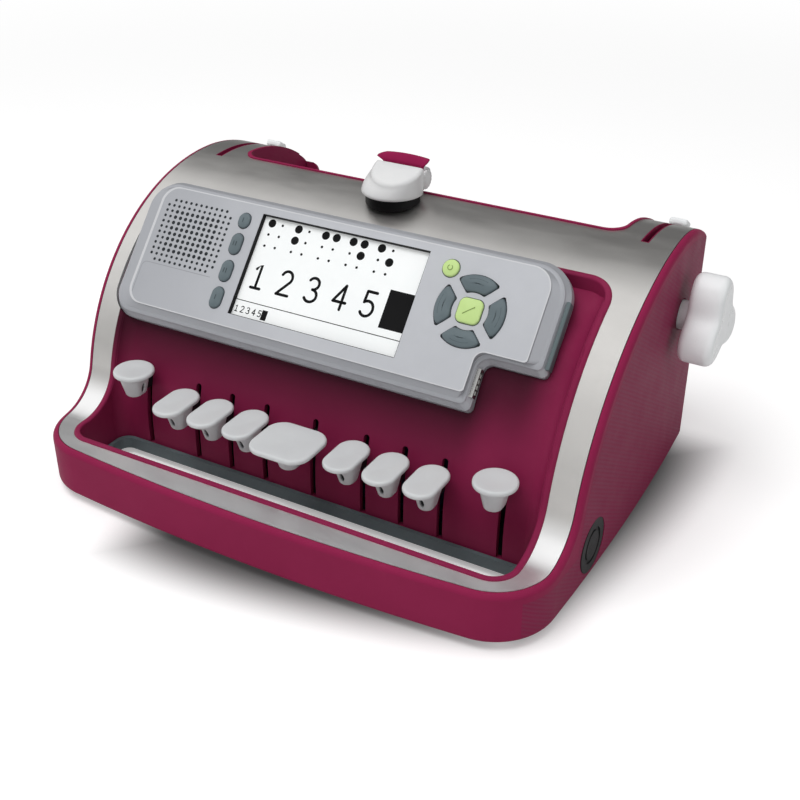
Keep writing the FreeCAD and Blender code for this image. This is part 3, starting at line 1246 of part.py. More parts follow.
def module_buttons():
    """Each button and the cutter of its hole, by name, in the module's plane."""
    pieces = {}
    low = -MODULE_SKIN - 1
    for name, (v, height) in SIDE_BUTTONS.items():
        pieces[name] = (button(side_button(v, height)),
                        rounded_prism(side_button(v, height, BUTTON_GAP), low, 5))
    half = POWER_R - 0.01
    power = rectangle(POWER_U - POWER_R, POWER_U + POWER_R, POWER_V - POWER_R, POWER_V + POWER_R,
                      half)
    pieces["power_button"] = (button(power), rod_z(POWER_R + BUTTON_GAP, low, 5, POWER_U, POWER_V))
    for name in ("pad_up", "pad_left", "pad_down", "pad_right"):
        pieces[name] = (pad_button(name), pad_prism(name, BUTTON_GAP, low, 5))
    square = rectangle(PAD_U - SELECT_HALF, PAD_U + SELECT_HALF, PAD_V - SELECT_HALF,
                       PAD_V + SELECT_HALF, SELECT_CORNER)
    reach = SELECT_HALF + BUTTON_GAP
    hole = rounded_prism(rectangle(PAD_U - reach, PAD_U + reach, PAD_V - reach, PAD_V + reach,
                                   SELECT_CORNER + BUTTON_GAP), low, 5)
    pieces["select_button"] = (button(square), hole)
    return pieces


def build():
    """All nodes by name."""
    nodes = {}
    for name, x, cap in keys():
        lever = make_lever(x, cap)
        nodes[f"key_lever_{name}"] = lever
        nodes[f"key_cap_{name}"] = make_cap(x, cap, lever)
    buttons = module_buttons()
    for name, (piece, _) in buttons.items():
        nodes[name] = placed(piece)
    nodes["module_front"] = placed(make_module_front([cutter for _, cutter in buttons.values()]))
    nodes["module_back"] = placed(make_module_back())
    nodes["lcd_panel"] = placed(make_lcd_panel())
    nodes["circuit_board"] = placed(make_circuit_board())
    nodes["speaker"] = placed(make_speaker())
    nodes["module_side_strip"] = placed(make_module_side_strip())
    nodes["card_port"] = placed(make_card_port())
    for name in ("module_front", "module_back"):
        nodes[name] = nodes[name].cut([nodes["module_side_strip"], placed(card_port_block())])
    seat = placed(rounded_prism(module_outline(-FIT), -MODULE_T - FIT, 0))
    nodes["main_housing"] = make_main_housing().cut(seat)
    nodes["top_cover"] = make_top_cover().cut(seat)
    nodes["key_well"] = make_key_well(key_slots() + [seat])
    nodes["well_edge_strip"] = make_well_edge_strip()
    nodes["key_shaft"] = make_key_shaft()
    nodes["key_return_springs"] = make_key_springs()
    nodes["battery_pack"] = make_battery_pack()
    nodes["feed_roller"] = make_feed_roller()
    knob = make_knob()
    nodes["feed_knobs"] = Part.makeCompound([knob, mirrored(knob)])
    nodes["pressure_roller"] = make_pressure_roller()
    release = make_release()
    nodes["paper_release_right"] = release
    nodes["paper_release_left"] = mirrored(release)
    nodes["paper_table"] = make_paper_table()
    nodes["side_frames"] = make_side_frames()
    nodes["base_pan"] = make_base_pan()
    nodes["rubber_feet"] = make_rubber_feet()
    nodes["side_plugs"] = make_side_plugs()
    nodes["pan_screws"] = make_screws()
    nodes["carriage_rails"] = make_carriage_rails()
    nodes["carriage_frame"] = make_carriage_frame()
    nodes["embossing_head"] = make_embossing_head()
    nodes["carriage_disc"] = make_carriage_disc()
    nodes["carriage_cap"] = make_carriage_cap()
    nodes["carriage_grip"] = make_carriage_grip()
    nodes["spring_drum"] = make_spring_drum()
    return nodes


def main():
    """Write one STEP file for each node."""
    os.makedirs("parts", exist_ok=True)
    nodes = build()
    for name, shape in nodes.items():
        shape.exportStep(f"parts/{name}.step")
        b = shape.BoundBox
        print(f"{name:22s} solids {len(shape.Solids)} valid {shape.isValid()} "
              f"x {b.XMin:7.1f} {b.XMax:7.1f} y {b.YMin:7.1f} {b.YMax:7.1f} "
              f"z {b.ZMin:6.1f} {b.ZMax:6.1f} volume {shape.Volume:.0f}")
    print(len(nodes), "nodes")


if __name__ == "__main__":
    main()
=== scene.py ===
"""Looks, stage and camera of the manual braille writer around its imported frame.

The pieces' sizes are in millimetres, and MM turns them to metres. Patterns,
lamps, floor and shade are in metres. X runs to the typist's right, Y away from
the typist and Z up, with the table at Z = 0.
"""

import logging
import math
from dataclasses import dataclass
from enum import Enum
from functools import cache
from typing import Optional, Sequence, Union

import bpy
import numpy as np
from mathutils import Matrix, Vector


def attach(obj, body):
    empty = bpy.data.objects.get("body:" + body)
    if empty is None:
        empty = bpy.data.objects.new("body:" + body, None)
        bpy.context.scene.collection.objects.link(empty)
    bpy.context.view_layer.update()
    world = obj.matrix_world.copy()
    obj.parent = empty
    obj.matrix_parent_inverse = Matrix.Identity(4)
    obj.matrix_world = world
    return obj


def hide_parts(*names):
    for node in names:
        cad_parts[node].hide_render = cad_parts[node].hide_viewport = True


log = logging.getLogger("braille_writer")
MM = 0.001
RGB = tuple[int, int, int]
Part = tuple[np.ndarray, list[list[int]]]
Height = Union[float, np.ndarray]
Piece = bpy.types.Object
Node = bpy.types.Node
Socket = bpy.types.NodeSocket
WHITE = (1.0, 1.0, 1.0, 1.0)
BLACK = (0.0, 0.0, 0.0, 1.0)

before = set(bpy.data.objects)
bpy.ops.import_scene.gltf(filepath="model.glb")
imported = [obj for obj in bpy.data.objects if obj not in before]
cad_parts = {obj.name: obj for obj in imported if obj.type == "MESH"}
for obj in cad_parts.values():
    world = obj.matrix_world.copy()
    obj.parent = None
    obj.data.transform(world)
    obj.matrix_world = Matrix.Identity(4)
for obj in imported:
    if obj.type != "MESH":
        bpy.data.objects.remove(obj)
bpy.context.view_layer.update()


# ---- numbers ---------------------------------------------------------------
def linear(rgb: RGB) -> tuple[float, float, float, float]:
    """Screen colour from 0 to 255 as the linear colour that shaders take.

    Args:
        rgb: red, green and blue, 0 to 255.

    Returns:
        Linear red, green, blue and an alpha of 1.
    """
    value = np.asarray(rgb, float) / 255
    low = value / 12.92
    high = ((value + 0.055) / 1.055) ** 2.4
    r, g, b = np.where(value <= 0.04045, low, high)
    return float(r), float(g), float(b), 1.0


def unit(value: np.ndarray) -> np.ndarray:
    """Vectors along the last axis, scaled to length 1."""
    return value / np.maximum(np.linalg.norm(value, axis=-1, keepdims=True), 1e-12)


def smooth_step(low: float, high: float, value: np.ndarray) -> np.ndarray:
    """0 up to low, 1 from high on, and the cubic 3t^2 - 2t^3 between."""
    t = np.clip((value - low) / (high - low), 0, 1)
    return t * t * (3 - 2 * t)


# ---- surfaces --------------------------------------------------------------
def make_object(name: str, points: np.ndarray, faces: Sequence[Sequence[int]],
                smooth: bool = True) -> Piece:
    """Mesh object at the origin, from an array of points and a list of faces.

    Args:
        name: the piece's name.
        points: array of n by 3, in metres.
        faces: vertex numbers of each face, anticlockwise from outside.
        smooth: whether the faces are shaded smooth.

    Returns:
        The new object, linked into the scene.
    """
    mesh = bpy.data.meshes.new(name)
    mesh.from_pydata(np.asarray(points, float).tolist(), [], [list(f) for f in faces])
    mesh.update()
    if smooth:
        mesh.polygons.foreach_set("use_smooth", np.ones(len(mesh.polygons), bool))
    piece = bpy.data.objects.new(name, mesh)
    bpy.context.scene.collection.objects.link(piece)
    return piece


def tube_faces(rows: int, columns: int, start: int = 0) -> list[list[int]]:
    """Quads of a grid whose columns close on themselves.

    Vertex (i, j) has the number start + i * columns + j. Each quad joins rows
    i and i + 1 and columns j and j + 1, with column j + 1 taken round.

    Args:
        rows: how many rings.
        columns: how many points each ring has.
        start: number of the first vertex.

    Returns:
        Four vertex numbers for each quad.
    """
    i, j = np.meshgrid(np.arange(rows - 1), np.arange(columns), indexing="ij")
    after = (j + 1) % columns
    quads = np.stack([i * columns + j, i * columns + after,
                      (i + 1) * columns + after, (i + 1) * columns + j], axis=-1)
    return (quads.reshape(-1, 4) + start).tolist()


def on_circle(turn: np.ndarray) -> np.ndarray:
    """Cosine and sine of each turn, as points of n by 2."""
    return np.column_stack([np.cos(turn), np.sin(turn)])


def full_turn(count: int) -> np.ndarray:
    """One turn in radians, cut into count equal steps."""
    return np.linspace(0, 2 * math.pi, count, endpoint=False)


def at_height(ring: np.ndarray, height: Height) -> np.ndarray:
    """Outline of n by 2 at one height, or at a height for each point."""
    return np.column_stack([ring, np.full(len(ring), height)])


def stacked(rows: Sequence[tuple[np.ndarray, Height]]) -> np.ndarray:
    """Outlines with their heights, as a grid of rings by points by 3."""
    return np.stack([at_height(ring, height) for ring, height in rows])


def evenly(line: np.ndarray, count: int) -> np.ndarray:
    """A line of points, cut again into equal lengths along its run.

    Args:
        line: points of n by 2; a closed line has its first point again at its end.
        count: how many points to make. The line's end is not among them.

    Returns:
        Points of count by 2.
    """
    length = np.concatenate([[0], np.cumsum(np.linalg.norm(np.diff(line, axis=0), axis=1))])
    places = np.linspace(0, length[-1], count, endpoint=False)
    return np.column_stack([np.interp(places, length, line[:, k]) for k in (0, 1)])


def closed_rings(grid: np.ndarray) -> Part:
    """Closed form from rings: quads between the rings and a pole at each end.

    Args:
        grid: rings by points by 3. Seen from the first ring's side, the points
            run clockwise round the axis towards the last ring.

    Returns:
        Points of n by 3 and the faces, with each pole at the mean of its ring.
    """
    rows, columns, _ = grid.shape
    points = np.concatenate([grid.reshape(-1, 3), grid[0].mean(0)[None], grid[-1].mean(0)[None]])
    faces = tube_faces(rows, columns)
    first, base = rows * columns, (rows - 1) * columns
    ring = np.arange(columns)
    after = (ring + 1) % columns
    faces += np.stack([after, ring, np.full(columns, first)], axis=-1).tolist()
    faces += np.stack([base + ring, base + after, np.full(columns, first + 1)], axis=-1).tolist()
    return points, faces


def closed_tube(name: str, grid: np.ndarray) -> Piece:
    """Piece from rings, as closed_rings makes them."""
    return make_object(name, *closed_rings(grid))


def hoop(rows: Sequence[tuple[np.ndarray, Height]]) -> Part:
    """Closed form whose section is carried round: the last ring joins the first.

    Args:
        rows: outlines of as many points each, with their heights.

    Returns:
        Points of n by 3 and the faces.
    """
    grid = stacked(rows)
    rows_count, columns, _ = grid.shape
    ring = np.arange(columns)
    after = (ring + 1) % columns
    last = (rows_count - 1) * columns
    faces = tube_faces(rows_count, columns)
    faces += np.stack([last + ring, last + after, after, ring], axis=-1).tolist()
    return grid.reshape(-1, 3), faces


def band(outer: np.ndarray, inner: np.ndarray, low: float, high: float) -> Part:
    """Flat band between two outlines: a rectangle from low to high, carried round."""
    return hoop(((outer, low), (outer, high), (inner, high), (inner, low)))


def ring_slab(outer: np.ndarray, low: float, high: float, bevel: float = 0.0) -> Part:
    """Flat plate: its outline is carried up the wall and in by the bevel.

    Args:
        outer: outline of n by 2, anticlockwise from above.
        low: height of the plate's foot.
        high: height of its top.
        bevel: how far the top edge is cut back.

    Returns:
        Points of n by 3 and the faces.
    """
    middle = outer.mean(0)
    shrink = middle + (outer - middle) * (1 - bevel / max(1e-9, np.abs(outer - middle).max()))
    return closed_rings(stacked([(outer, low), (outer, high - bevel), (shrink, high)]))


def stroke(line: np.ndarray, width: float, low: float, high: float) -> Part:
    """Ribbon along a line: each point is set off half a width to both sides.

    Args:
        line: points of n by 2.
        width: the ribbon's width.
        low: height of its foot.
        high: height of its face.

    Returns:
        Points and faces of the closed ribbon.
    """
    along = unit(np.gradient(line, axis=0))
    side = np.column_stack([-along[:, 1], along[:, 0]]) * width / 2
    left, right = line + side, line - side
    ring = np.stack([at_height(edge, z) for edge, z in
                     ((left, low), (right, low), (right, high), (left, high))], axis=1)
    last = 4 * len(line) - 1
    faces = tube_faces(len(line), 4) + [[0, 1, 2, 3], [last, last - 1, last - 2, last - 3]]
    return ring.reshape(-1, 3), faces


def arc(middle: Sequence[float], radii: Sequence[float], start: float, end: float) -> np.ndarray:
    """Points of an elliptical arc about its middle, with its angles in degrees."""
    return on_circle(np.radians(np.linspace(start, end, 24))) * radii + middle


def rectangle(x0: float, x1: float, y0: float, y1: float) -> np.ndarray:
    """Corners of a rectangle, anticlockwise from its lower left."""
    return np.array([[x0, y0], [x1, y0], [x1, y1], [x0, y1]])


def rounded_ring(half_x: float, half_y: float, radius: float, count: int) -> np.ndarray:
    """Rectangle with quarter-circle corners, walked at an even pace.

    The corner arcs are sampled by angle about their centres, joined by the
    straight sides, and the closed line is cut again into equal lengths.

    Args:
        half_x: half of the width.
        half_y: half of the length.
        radius: corner radius.
        count: how many points.

    Returns:
        Outline of count by 2, anticlockwise.
    """
    radius = min(radius, half_x, half_y) - 1e-9
    turn = np.linspace(0, math.pi / 2, 17)
    arcs = []
    for step, (sx, sy) in enumerate(((1, 1), (-1, 1), (-1, -1), (1, -1))):
        angle = turn + step * math.pi / 2
        centre = np.array([sx * (half_x - radius), sy * (half_y - radius)])
        arcs.append(centre + radius * on_circle(angle))
    return evenly(np.concatenate(arcs + [arcs[0][:1]]), count)


def merged(name: str, parts: Sequence[Part], place: Optional["Plane"] = None) -> Piece:
    """One piece from several sets of points and faces.

    Args:
        name: the piece's name.
        parts: points and faces of each part.
        place: plane whose coordinates the points are in, or none for metres.

    Returns:
        The piece.
    """
    points, faces, start = [], [], 0
    for spots, polygons in parts:
        points.append(spots)
        faces += [[k + start for k in polygon] for polygon in polygons]
        start += len(spots)
    everything = np.concatenate(points)
    if place is not None:
        everything = place.to_world(everything)
    return make_object(name, everything, faces, smooth=False)


@dataclass(frozen=True)
class Plane:
    """A tilted plane with its own u (right), v (up the slope) and w (outward)."""

    origin: tuple[float, float, float]
    tilt_degrees: float

    def axes(self) -> np.ndarray:
        """Rows u, v and w in the machine's axes."""
        a = math.radians(self.tilt_degrees)
        return np.array([[1, 0, 0], [0, math.cos(a), math.sin(a)], [0, -math.sin(a), math.cos(a)]])

    def to_world(self, uvw: np.ndarray) -> np.ndarray:
        """Points given in millimetres along u, v and w, as metres in the machine's axes."""
        return (np.asarray(self.origin) + np.asarray(uvw) @ self.axes()) * MM


# ---- shader parts ----------------------------------------------------------
class Tree:
    """Short forms for adding and linking the nodes of one tree."""

    def __init__(self, tree: bpy.types.NodeTree) -> None:
        """Keeps the tree that the nodes go into."""
        self.tree = tree

    def add(self, kind: str, **values: object) -> Node:
        """Adds a node; values name its properties or, with _ for a space, its inputs.

        Args:
            kind: the node's type, without the leading ShaderNode.
            values: properties and inputs; an output socket is linked.

        Returns:
            The node.
        """
        node = self.tree.nodes.new("ShaderNode" + kind)
        for key, value in values.items():
            if key in node.bl_rna.properties:
                setattr(node, key, value)
            else:
                self.feed(node.inputs[key.replace("_", " ")], value)
        return node

    def feed(self, socket: Socket, value: object) -> None:
        """Links an output to the socket, or sets the socket's own value.

        Args:
            socket: the input.
            value: an output socket, or a number, vector or colour.
        """
        if isinstance(value, Socket):
            self.tree.links.new(value, socket)
        else:
            socket.default_value = value

    def math(self, operation: str, *values: object, clamp: bool = False) -> Socket:
        """Result of a Math node on sockets or numbers.

        Args:
            operation: the node's operation.
            values: its inputs, in order.
            clamp: whether the result is kept within 0 and 1.

        Returns:
            The result's socket.
        """
        node = self.add("Math", operation=operation, use_clamp=clamp)
        for socket, value in zip(node.inputs, values):
            self.feed(socket, value)
        return node.outputs[0]

    def product(self, *values: object) -> Socket:
        """Product of sockets or numbers.

        Args:
            values: the factors, taken from left to right.

        Returns:
            The result's socket.
        """
        result = values[0]
        for value in values[1:]:
            result = self.math("MULTIPLY", result, value)
        return result

    def vector(self, operation: str, *values: object) -> Node:
        """A Vector Math node.

        Args:
            operation: the node's operation.
            values: its inputs, in order, as sockets or vectors.

        Returns:
            The node, which has a vector and a value as outputs.
        """
        node = self.add("VectorMath", operation=operation)
        for socket, value in zip(node.inputs, values):
            self.feed(socket, value)
        return node

    def split(self, vector: Socket) -> tuple[Socket, ...]:
        """X, Y and Z of a vector."""
        return tuple(self.add("SeparateXYZ", Vector=vector).outputs)

    def mix(self, factor: object, a: object, b: object) -> Socket:
        """Mix of two colours.

        Args:
            factor: the share of b, from 0 to 1.
            a: a colour or a socket.
            b: the other one.

        Returns:
            The result's socket.
        """
        node = self.add("Mix", data_type="RGBA")
        for socket, value in zip((node.inputs[0], node.inputs[6], node.inputs[7]), (factor, a, b)):
            self.feed(socket, value)
        return node.outputs[2]

    def span(self, value: object, low: float, high: float,
             out_low: float = 0.0, out_high: float = 1.0) -> Socket:
        """Value carried smoothly from one span to another.

        Args:
            value: the socket to carry.
            low: where the first span starts.
            high: where it ends.
            out_low: result at low and below it.
            out_high: result at high and above it.

        Returns:
            The result's socket.
        """
        node = self.add("MapRange", interpolation_type="SMOOTHSTEP", From_Min=low, From_Max=high,
                        To_Min=out_low, To_Max=out_high)
        self.feed(node.inputs["Value"], value)
        return node.outputs["Result"]

    def noise(self, place: Socket, scale: object, detail: float, roughness: float = 0.5) -> Socket:
        """Noise at a place, from 0 to 1."""
        return self.add("TexNoise", Vector=place, Scale=scale, Detail=detail,
                        Roughness=roughness).outputs[0]


class Groups:
    """The node groups that the finishes share, each built at its first use."""

    @staticmethod
    def begin(name: str, inputs: dict[str, str], outputs: dict[str, str]
              ) -> tuple[Tree, list[Socket], bpy.types.bpy_prop_collection]:
        """New group with named sockets.

        Args:
            name: the group's name.
            inputs: socket type of each input by name.
            outputs: socket type of each output by name.

        Returns:
            Its tree, what its inputs give in order, and its outputs by name.
        """
        group = bpy.data.node_groups.new(name, "ShaderNodeTree")
        for side, sockets in (("INPUT", inputs), ("OUTPUT", outputs)):
            for title, kind in sockets.items():
                group.interface.new_socket(name=title, in_out=side, socket_type="NodeSocket" + kind)
        given, out = (group.nodes.new("NodeGroup" + side) for side in ("Input", "Output"))
        return Tree(group), list(given.outputs)[:len(inputs)], out.inputs

    @staticmethod
    @cache
    def grain() -> bpy.types.NodeTree:
        """Moulded or blasted grain: fine noise on roughness and height.

        Returns:
            The group.
        """
        tree, (place, scale, smooth, rough), out = Groups.begin(
            "grain", {"Vector": "Vector", "Scale": "Float", "Smooth": "Float", "Rough": "Float"},
            {"Roughness": "Float", "Height": "Float"})
        fine = tree.noise(place, scale, 3.0, 0.6)
        broad = tree.noise(place, tree.product(scale, 0.04), 2.0)
        both = tree.math("ADD", tree.product(fine, 0.5), tree.product(broad, 0.5))
        gap = tree.math("SUBTRACT", rough, smooth)
        level = tree.math("MULTIPLY_ADD", gap, tree.span(both, 0.3, 0.7), smooth)
        tree.feed(out["Roughness"], level)
        tree.feed(out["Height"], fine)
        return tree.tree

    @staticmethod
    @cache
    def mottle() -> bpy.types.NodeTree:
        """Slow drift between two near colours, with fine specks of it.

        Returns:
            The group.
        """
        tree, (place, scale, color, drift, amount), out = Groups.begin(
            "mottle", {"Vector": "Vector", "Scale": "Float", "Color": "Color",
                       "Drift Color": "Color", "Amount": "Float"}, {"Color": "Color"})
        slow = tree.noise(place, scale, 4.0, 0.65)
        mask = tree.product(tree.span(slow, 0.35, 0.65), amount)
        tree.feed(out["Color"], tree.mix(mask, color, drift))
        return tree.tree

    @staticmethod
    @cache
    def dust() -> bpy.types.NodeTree:
        """Thin dust that lies where a surface faces up, broken by noise.

        Returns:
            The group.
        """
        tree, (place, color, dust, amount), out = Groups.begin(
            "dust", {"Vector": "Vector", "Color": "Color", "Dust Color": "Color",
                     "Amount": "Float"}, {"Color": "Color"})
        _, _, upward = tree.split(tree.add("NewGeometry").outputs["Normal"])
        patch = tree.noise(place, 180.0, 5.0, 0.7)
        mask = tree.product(tree.span(upward, 0.3, 1.0), tree.span(patch, 0.42, 0.75), amount)
        tree.feed(out["Color"], tree.mix(mask, color, dust))
        return tree.tree

    @staticmethod
    @cache
    def ribs() -> bpy.types.NodeTree:
        """Fine parallel ribs across a direction, as a height from 0 to 1.

        The height is (1 + sin(2 pi * distance / pitch)) / 2.

        Returns:
            The group.
        """
        tree, (place, across, pitch), out = Groups.begin(
            "ribs", {"Vector": "Vector", "Across": "Vector", "Pitch": "Float"},
            {"Height": "Float"})
        along = tree.vector("DOT_PRODUCT", place, across).outputs["Value"]
        phase = tree.product(tree.math("DIVIDE", along, pitch), 2 * math.pi)
        wave = tree.math("MULTIPLY_ADD", tree.math("SINE", phase), 0.5, 0.5)
        tree.feed(out["Height"], wave)
        return tree.tree


def blank_tree(owner: Union[bpy.types.Material, bpy.types.World]) -> Tree:
    """Tree of a new material or world, with no nodes in it.

    Args:
        owner: the material or world.

    Returns:
        Its tree.
    """
    owner.use_nodes = True
    owner.node_tree.nodes.clear()
    return Tree(owner.node_tree)


def blank_material(name: str) -> tuple[bpy.types.Material, Tree]:
    """New material and its tree, with no nodes in it."""
    material = bpy.data.materials.new(name)
    return material, blank_tree(material)


# ---- finishes --------------------------------------------------------------
MODULE_PLANE = Plane((0.0, -41.15, 107.67), 48.8)
DUST = (196, 194, 190)


class Pattern(Enum):
    """What a finish adds to its grain."""

    PLAIN = "plain"
    # ribs in relief, with a painted sheen on their crests
    SIDE_RIBS = "ribs on the upright sides"
    # brushed grain; the cover's low bar is also painted lighter, a painted light
    BRUSHED_WITH_PAINTED_BAR_LIGHT = "brushed across and lighter on the low bar"
    # painted shade: darker in the key stem's slit, by a mask that the mesh carries
    PAINTED_RECESS_SHADE = "dark in the piece's recess"
    # painted shade: the well's wall is darker under the display module
    SHADE_UNDER_MODULE = "deeper under the display module"
    # painted shade: darker in the groove round the module's panel and towards its left end
    SHADED_GROOVE = "deeper in the groove round the module's panel and towards its left end"
    SPOKED = "turned lines round an axis"


@dataclass(frozen=True)
class Finish:
    """One finish of the machine: colours, gloss, grain and pattern."""

    name: str
    color: RGB
    drift: RGB
    roughness: tuple[float, float]
    grain_scale: float = 2500.0
    bump: float = 0.05
    metallic: float = 0.0
    coat: float = 0.0
    coat_roughness: float = 0.18
    specular: float = 0.5
    drift_scale: float = 30.0
    drift_amount: float = 0.6
    dust: float = 0.05
    pattern: Pattern = Pattern.PLAIN
    glow: float = 0.0

    def material(self) -> bpy.types.Material:
        """The finish's material, built at its first use."""
        known = bpy.data.materials.get("finish_" + self.name)
        return known if known is not None else self.build()

    def build(self) -> bpy.types.Material:
        """Lays out the nodes: colour drift, pattern, dust, grain and bump.

        Returns:
            The material.
        """
        material, tree = blank_material("finish_" + self.name)
        out = tree.add("OutputMaterial")
        place = tree.add("TexCoord").outputs["Object"]
        color = tree.add("Group", node_tree=Groups.mottle(), Vector=place, Scale=self.drift_scale,
                         Color=linear(self.color), Drift_Color=linear(self.drift),
                         Amount=self.drift_amount).outputs["Color"]
        grain = tree.add("Group", node_tree=Groups.grain(), Vector=self.grain_vector(tree, place),
                         Scale=self.grain_scale, Smooth=self.roughness[0],
                         Rough=self.roughness[1]).outputs
        height = tree.product(grain["Height"], self.bump)
        color, height = self.patterned(tree, place, color, height)
        color = tree.add("Group", node_tree=Groups.dust(), Vector=place, Color=color,
                         Dust_Color=linear(DUST), Amount=self.dust).outputs["Color"]
        bump = tree.add("Bump", Strength=1.0, Distance=0.001, Height=height)
        shader = tree.add("BsdfPrincipled", Base_Color=color, Roughness=grain["Roughness"],
                          Metallic=self.metallic, Normal=bump.outputs["Normal"],
                          Coat_Weight=self.coat, Coat_Roughness=self.coat_roughness,
                          Specular_IOR_Level=self.specular)
        if self.glow:
            tree.feed(shader.inputs["Emission Color"], color)
            tree.feed(shader.inputs["Emission Strength"], self.glow)
        tree.feed(out.inputs["Surface"], shader.outputs["BSDF"])
        return material

    def grain_vector(self, tree: Tree, place: Socket) -> Socket:
        """Coordinates of the grain; a brushed metal's are drawn out along X.

        Args:
            tree: the material's tree.
            place: object coordinates.

        Returns:
            The socket of the coordinates.
        """
        if self.pattern is not Pattern.BRUSHED_WITH_PAINTED_BAR_LIGHT:
            return place
        return tree.add("Mapping", Vector=place, Scale=(0.25, 1.0, 1.0)).outputs["Vector"]

    def patterned(self, tree: Tree, place: Socket, color: Socket,
                  height: Socket) -> tuple[Socket, Socket]:
        """Colour and height after the finish's pattern.

        Args:
            tree: the material's tree.
            place: object coordinates.
            color: the colour so far.
            height: the height so far, in millimetres.

        Returns:
            The colour and the height with the pattern on them.
        """
        if self.pattern is Pattern.SIDE_RIBS:
            return self.ribbed(tree, place, color, height)
        if self.pattern is Pattern.SPOKED:
            wave = tree.add("TexWave", Vector=place, Scale=400.0, Distortion=1.5, Detail=2.0,
                            wave_type="RINGS").outputs["Fac"]
            return color, tree.math("MULTIPLY_ADD", wave, 0.01, height)
        # painted light and shade: each mask mixes the colour towards its painted tone
        light_and_shade_masks = {Pattern.PAINTED_RECESS_SHADE: (self.recess_shade, (44, 48, 50)),
                 Pattern.BRUSHED_WITH_PAINTED_BAR_LIGHT: (self.painted_bar_light, (250, 250, 250)),
                 Pattern.SHADE_UNDER_MODULE: (self.painted_shade_under_module, (46, 14, 26)),
                 Pattern.SHADED_GROOVE: (self.painted_groove_shade, (138, 140, 146))}
        if self.pattern in light_and_shade_masks:
            mask, painted_tone = light_and_shade_masks[self.pattern]
            color = tree.mix(mask(tree, place), color, linear(painted_tone))
        return color, height

    @staticmethod
    def recess_shade(tree: Tree, place: Socket) -> Socket:
        """Mask of painted shade in a piece's recess, from the attribute that its mesh carries."""
        return tree.add("Attribute", attribute_name="recess_shade").outputs["Fac"]

    @staticmethod
    def painted_bar_light(tree: Tree, place: Socket) -> Socket:
        """Mask of painted light on the cover's low bar, which ends where the slope starts."""
        slope_z = (0.038, 0.052)
        return tree.span(tree.split(place)[2], *slope_z, 1.0, 0.0)

    @staticmethod
    def painted_shade_under_module(tree: Tree, place: Socket) -> Socket:
        """Mask of painted shade on the well's wall below the module and behind it.

        The module's lower edge steps up with X. The painted shade deepens over 44 mm below it and
        fades beyond the module's right end and near the well's top.

        Args:
            tree: the material's tree.
            place: object coordinates.

        Returns:
            The mask, 0.88 at its deepest.
        """
        step_x, edge_z, depth = (0.080, 0.100), (0.086, 0.103), (-0.044, -0.002)
        end_x, top_z = (0.108, 0.128), (0.106, 0.116)
        x, _, z = tree.split(place)
        edge = tree.span(x, *step_x, *edge_z)
        near = tree.span(tree.math("SUBTRACT", z, edge), *depth)
        beside = tree.span(x, *end_x, 1.0, 0.15)
        under = tree.span(z, *top_z, 1.0, 0.25)
        return tree.product(near, beside, tree.product(under, 0.88))

    @staticmethod
    def painted_groove_shade(tree: Tree, place: Socket) -> Socket:
        """Mask of painted shade in the groove between the module's panel and ridge, and towards its
        left end.

        The height over the panel is the distance along the module's normal.

        Args:
            tree: the material's tree.
            place: object coordinates.

        Returns:
            The greater of the two masks.
        """
        rise, left_x = (-0.0007, -0.00015), (-0.135, -0.020)
        normal = MODULE_PLANE.axes()[2]
        level = float(np.array(MODULE_PLANE.origin) @ normal) * MM
        along = tree.vector("DOT_PRODUCT", place, tuple(normal)).outputs["Value"]
        low = tree.span(tree.math("SUBTRACT", along, level), *rise, 0.5, 0.0)
        return tree.math("MAXIMUM", low, tree.span(tree.split(place)[0], *left_x, 0.42, 0.0))

    def ribbed(self, tree: Tree, place: Socket, color: Socket,
               height: Socket) -> tuple[Socket, Socket]:
        """Ribs on the casing's sides, inside a smooth border along the cover; their crests are
        painted lighter, a painted sheen, and the ribbed area takes a darker tone.

        A point lies inside the border where it is within the slope's circle
        less the border, or below the bar's top less the border.

        Args:
            tree: the material's tree.
            place: object coordinates.
            color: the colour so far.
            height: the height so far, in millimetres.

        Returns:
            The colour and the height with the ribs on them.
        """
        border, fade, side_on = 0.0055, 0.001, (0.55, 0.8)
        across, pitch, relief = (0.0, 0.53, 0.848), 0.00208, 0.05
        slope_y, slope_z, slope_r, bar_top, side_x = 0.059, 0.020, 0.128, 0.033, 0.1445
        x, y, z = tree.split(place)
        facing, _, _ = tree.split(tree.add("NewGeometry").outputs["Normal"])
        sideways = tree.span(tree.math("ABSOLUTE", facing), *side_on)
        outer = tree.math("GREATER_THAN", tree.math("ABSOLUTE", x), side_x)
        squares = [tree.math("POWER", tree.math("SUBTRACT", value, middle), 2.0)
                   for value, middle in ((y, slope_y), (z, slope_z))]
        reach = tree.math("SQRT", tree.math("ADD", *squares))
        inside = tree.span(reach, slope_r - border - fade, slope_r - border, 1.0, 0.0)
        low = tree.span(z, bar_top - border - fade, bar_top - border, 1.0, 0.0)
        area = tree.product(tree.math("MAXIMUM", inside, low), tree.product(sideways, outer))
        ribs = tree.add("Group", node_tree=Groups.ribs(), Vector=place, Across=across,
                        Pitch=pitch).outputs["Height"]
        raised = tree.product(ribs, area)
        tinted = tree.mix(tree.product(area, 0.30), color, linear((106, 40, 64)))
        # painted sheen: the rib crests are mixed towards a lighter pink
        crest_sheen = tree.mix(tree.product(raised, 0.42), tinted, linear((126, 60, 86)))
        return crest_sheen, tree.math("MULTIPLY_ADD", raised, relief, height)


MAROON = Finish("maroon_shell", (143, 36, 76), (137, 33, 72), (0.42, 0.52), bump=0.02,
                grain_scale=1800.0, specular=0.06, pattern=Pattern.SIDE_RIBS, dust=0.01)
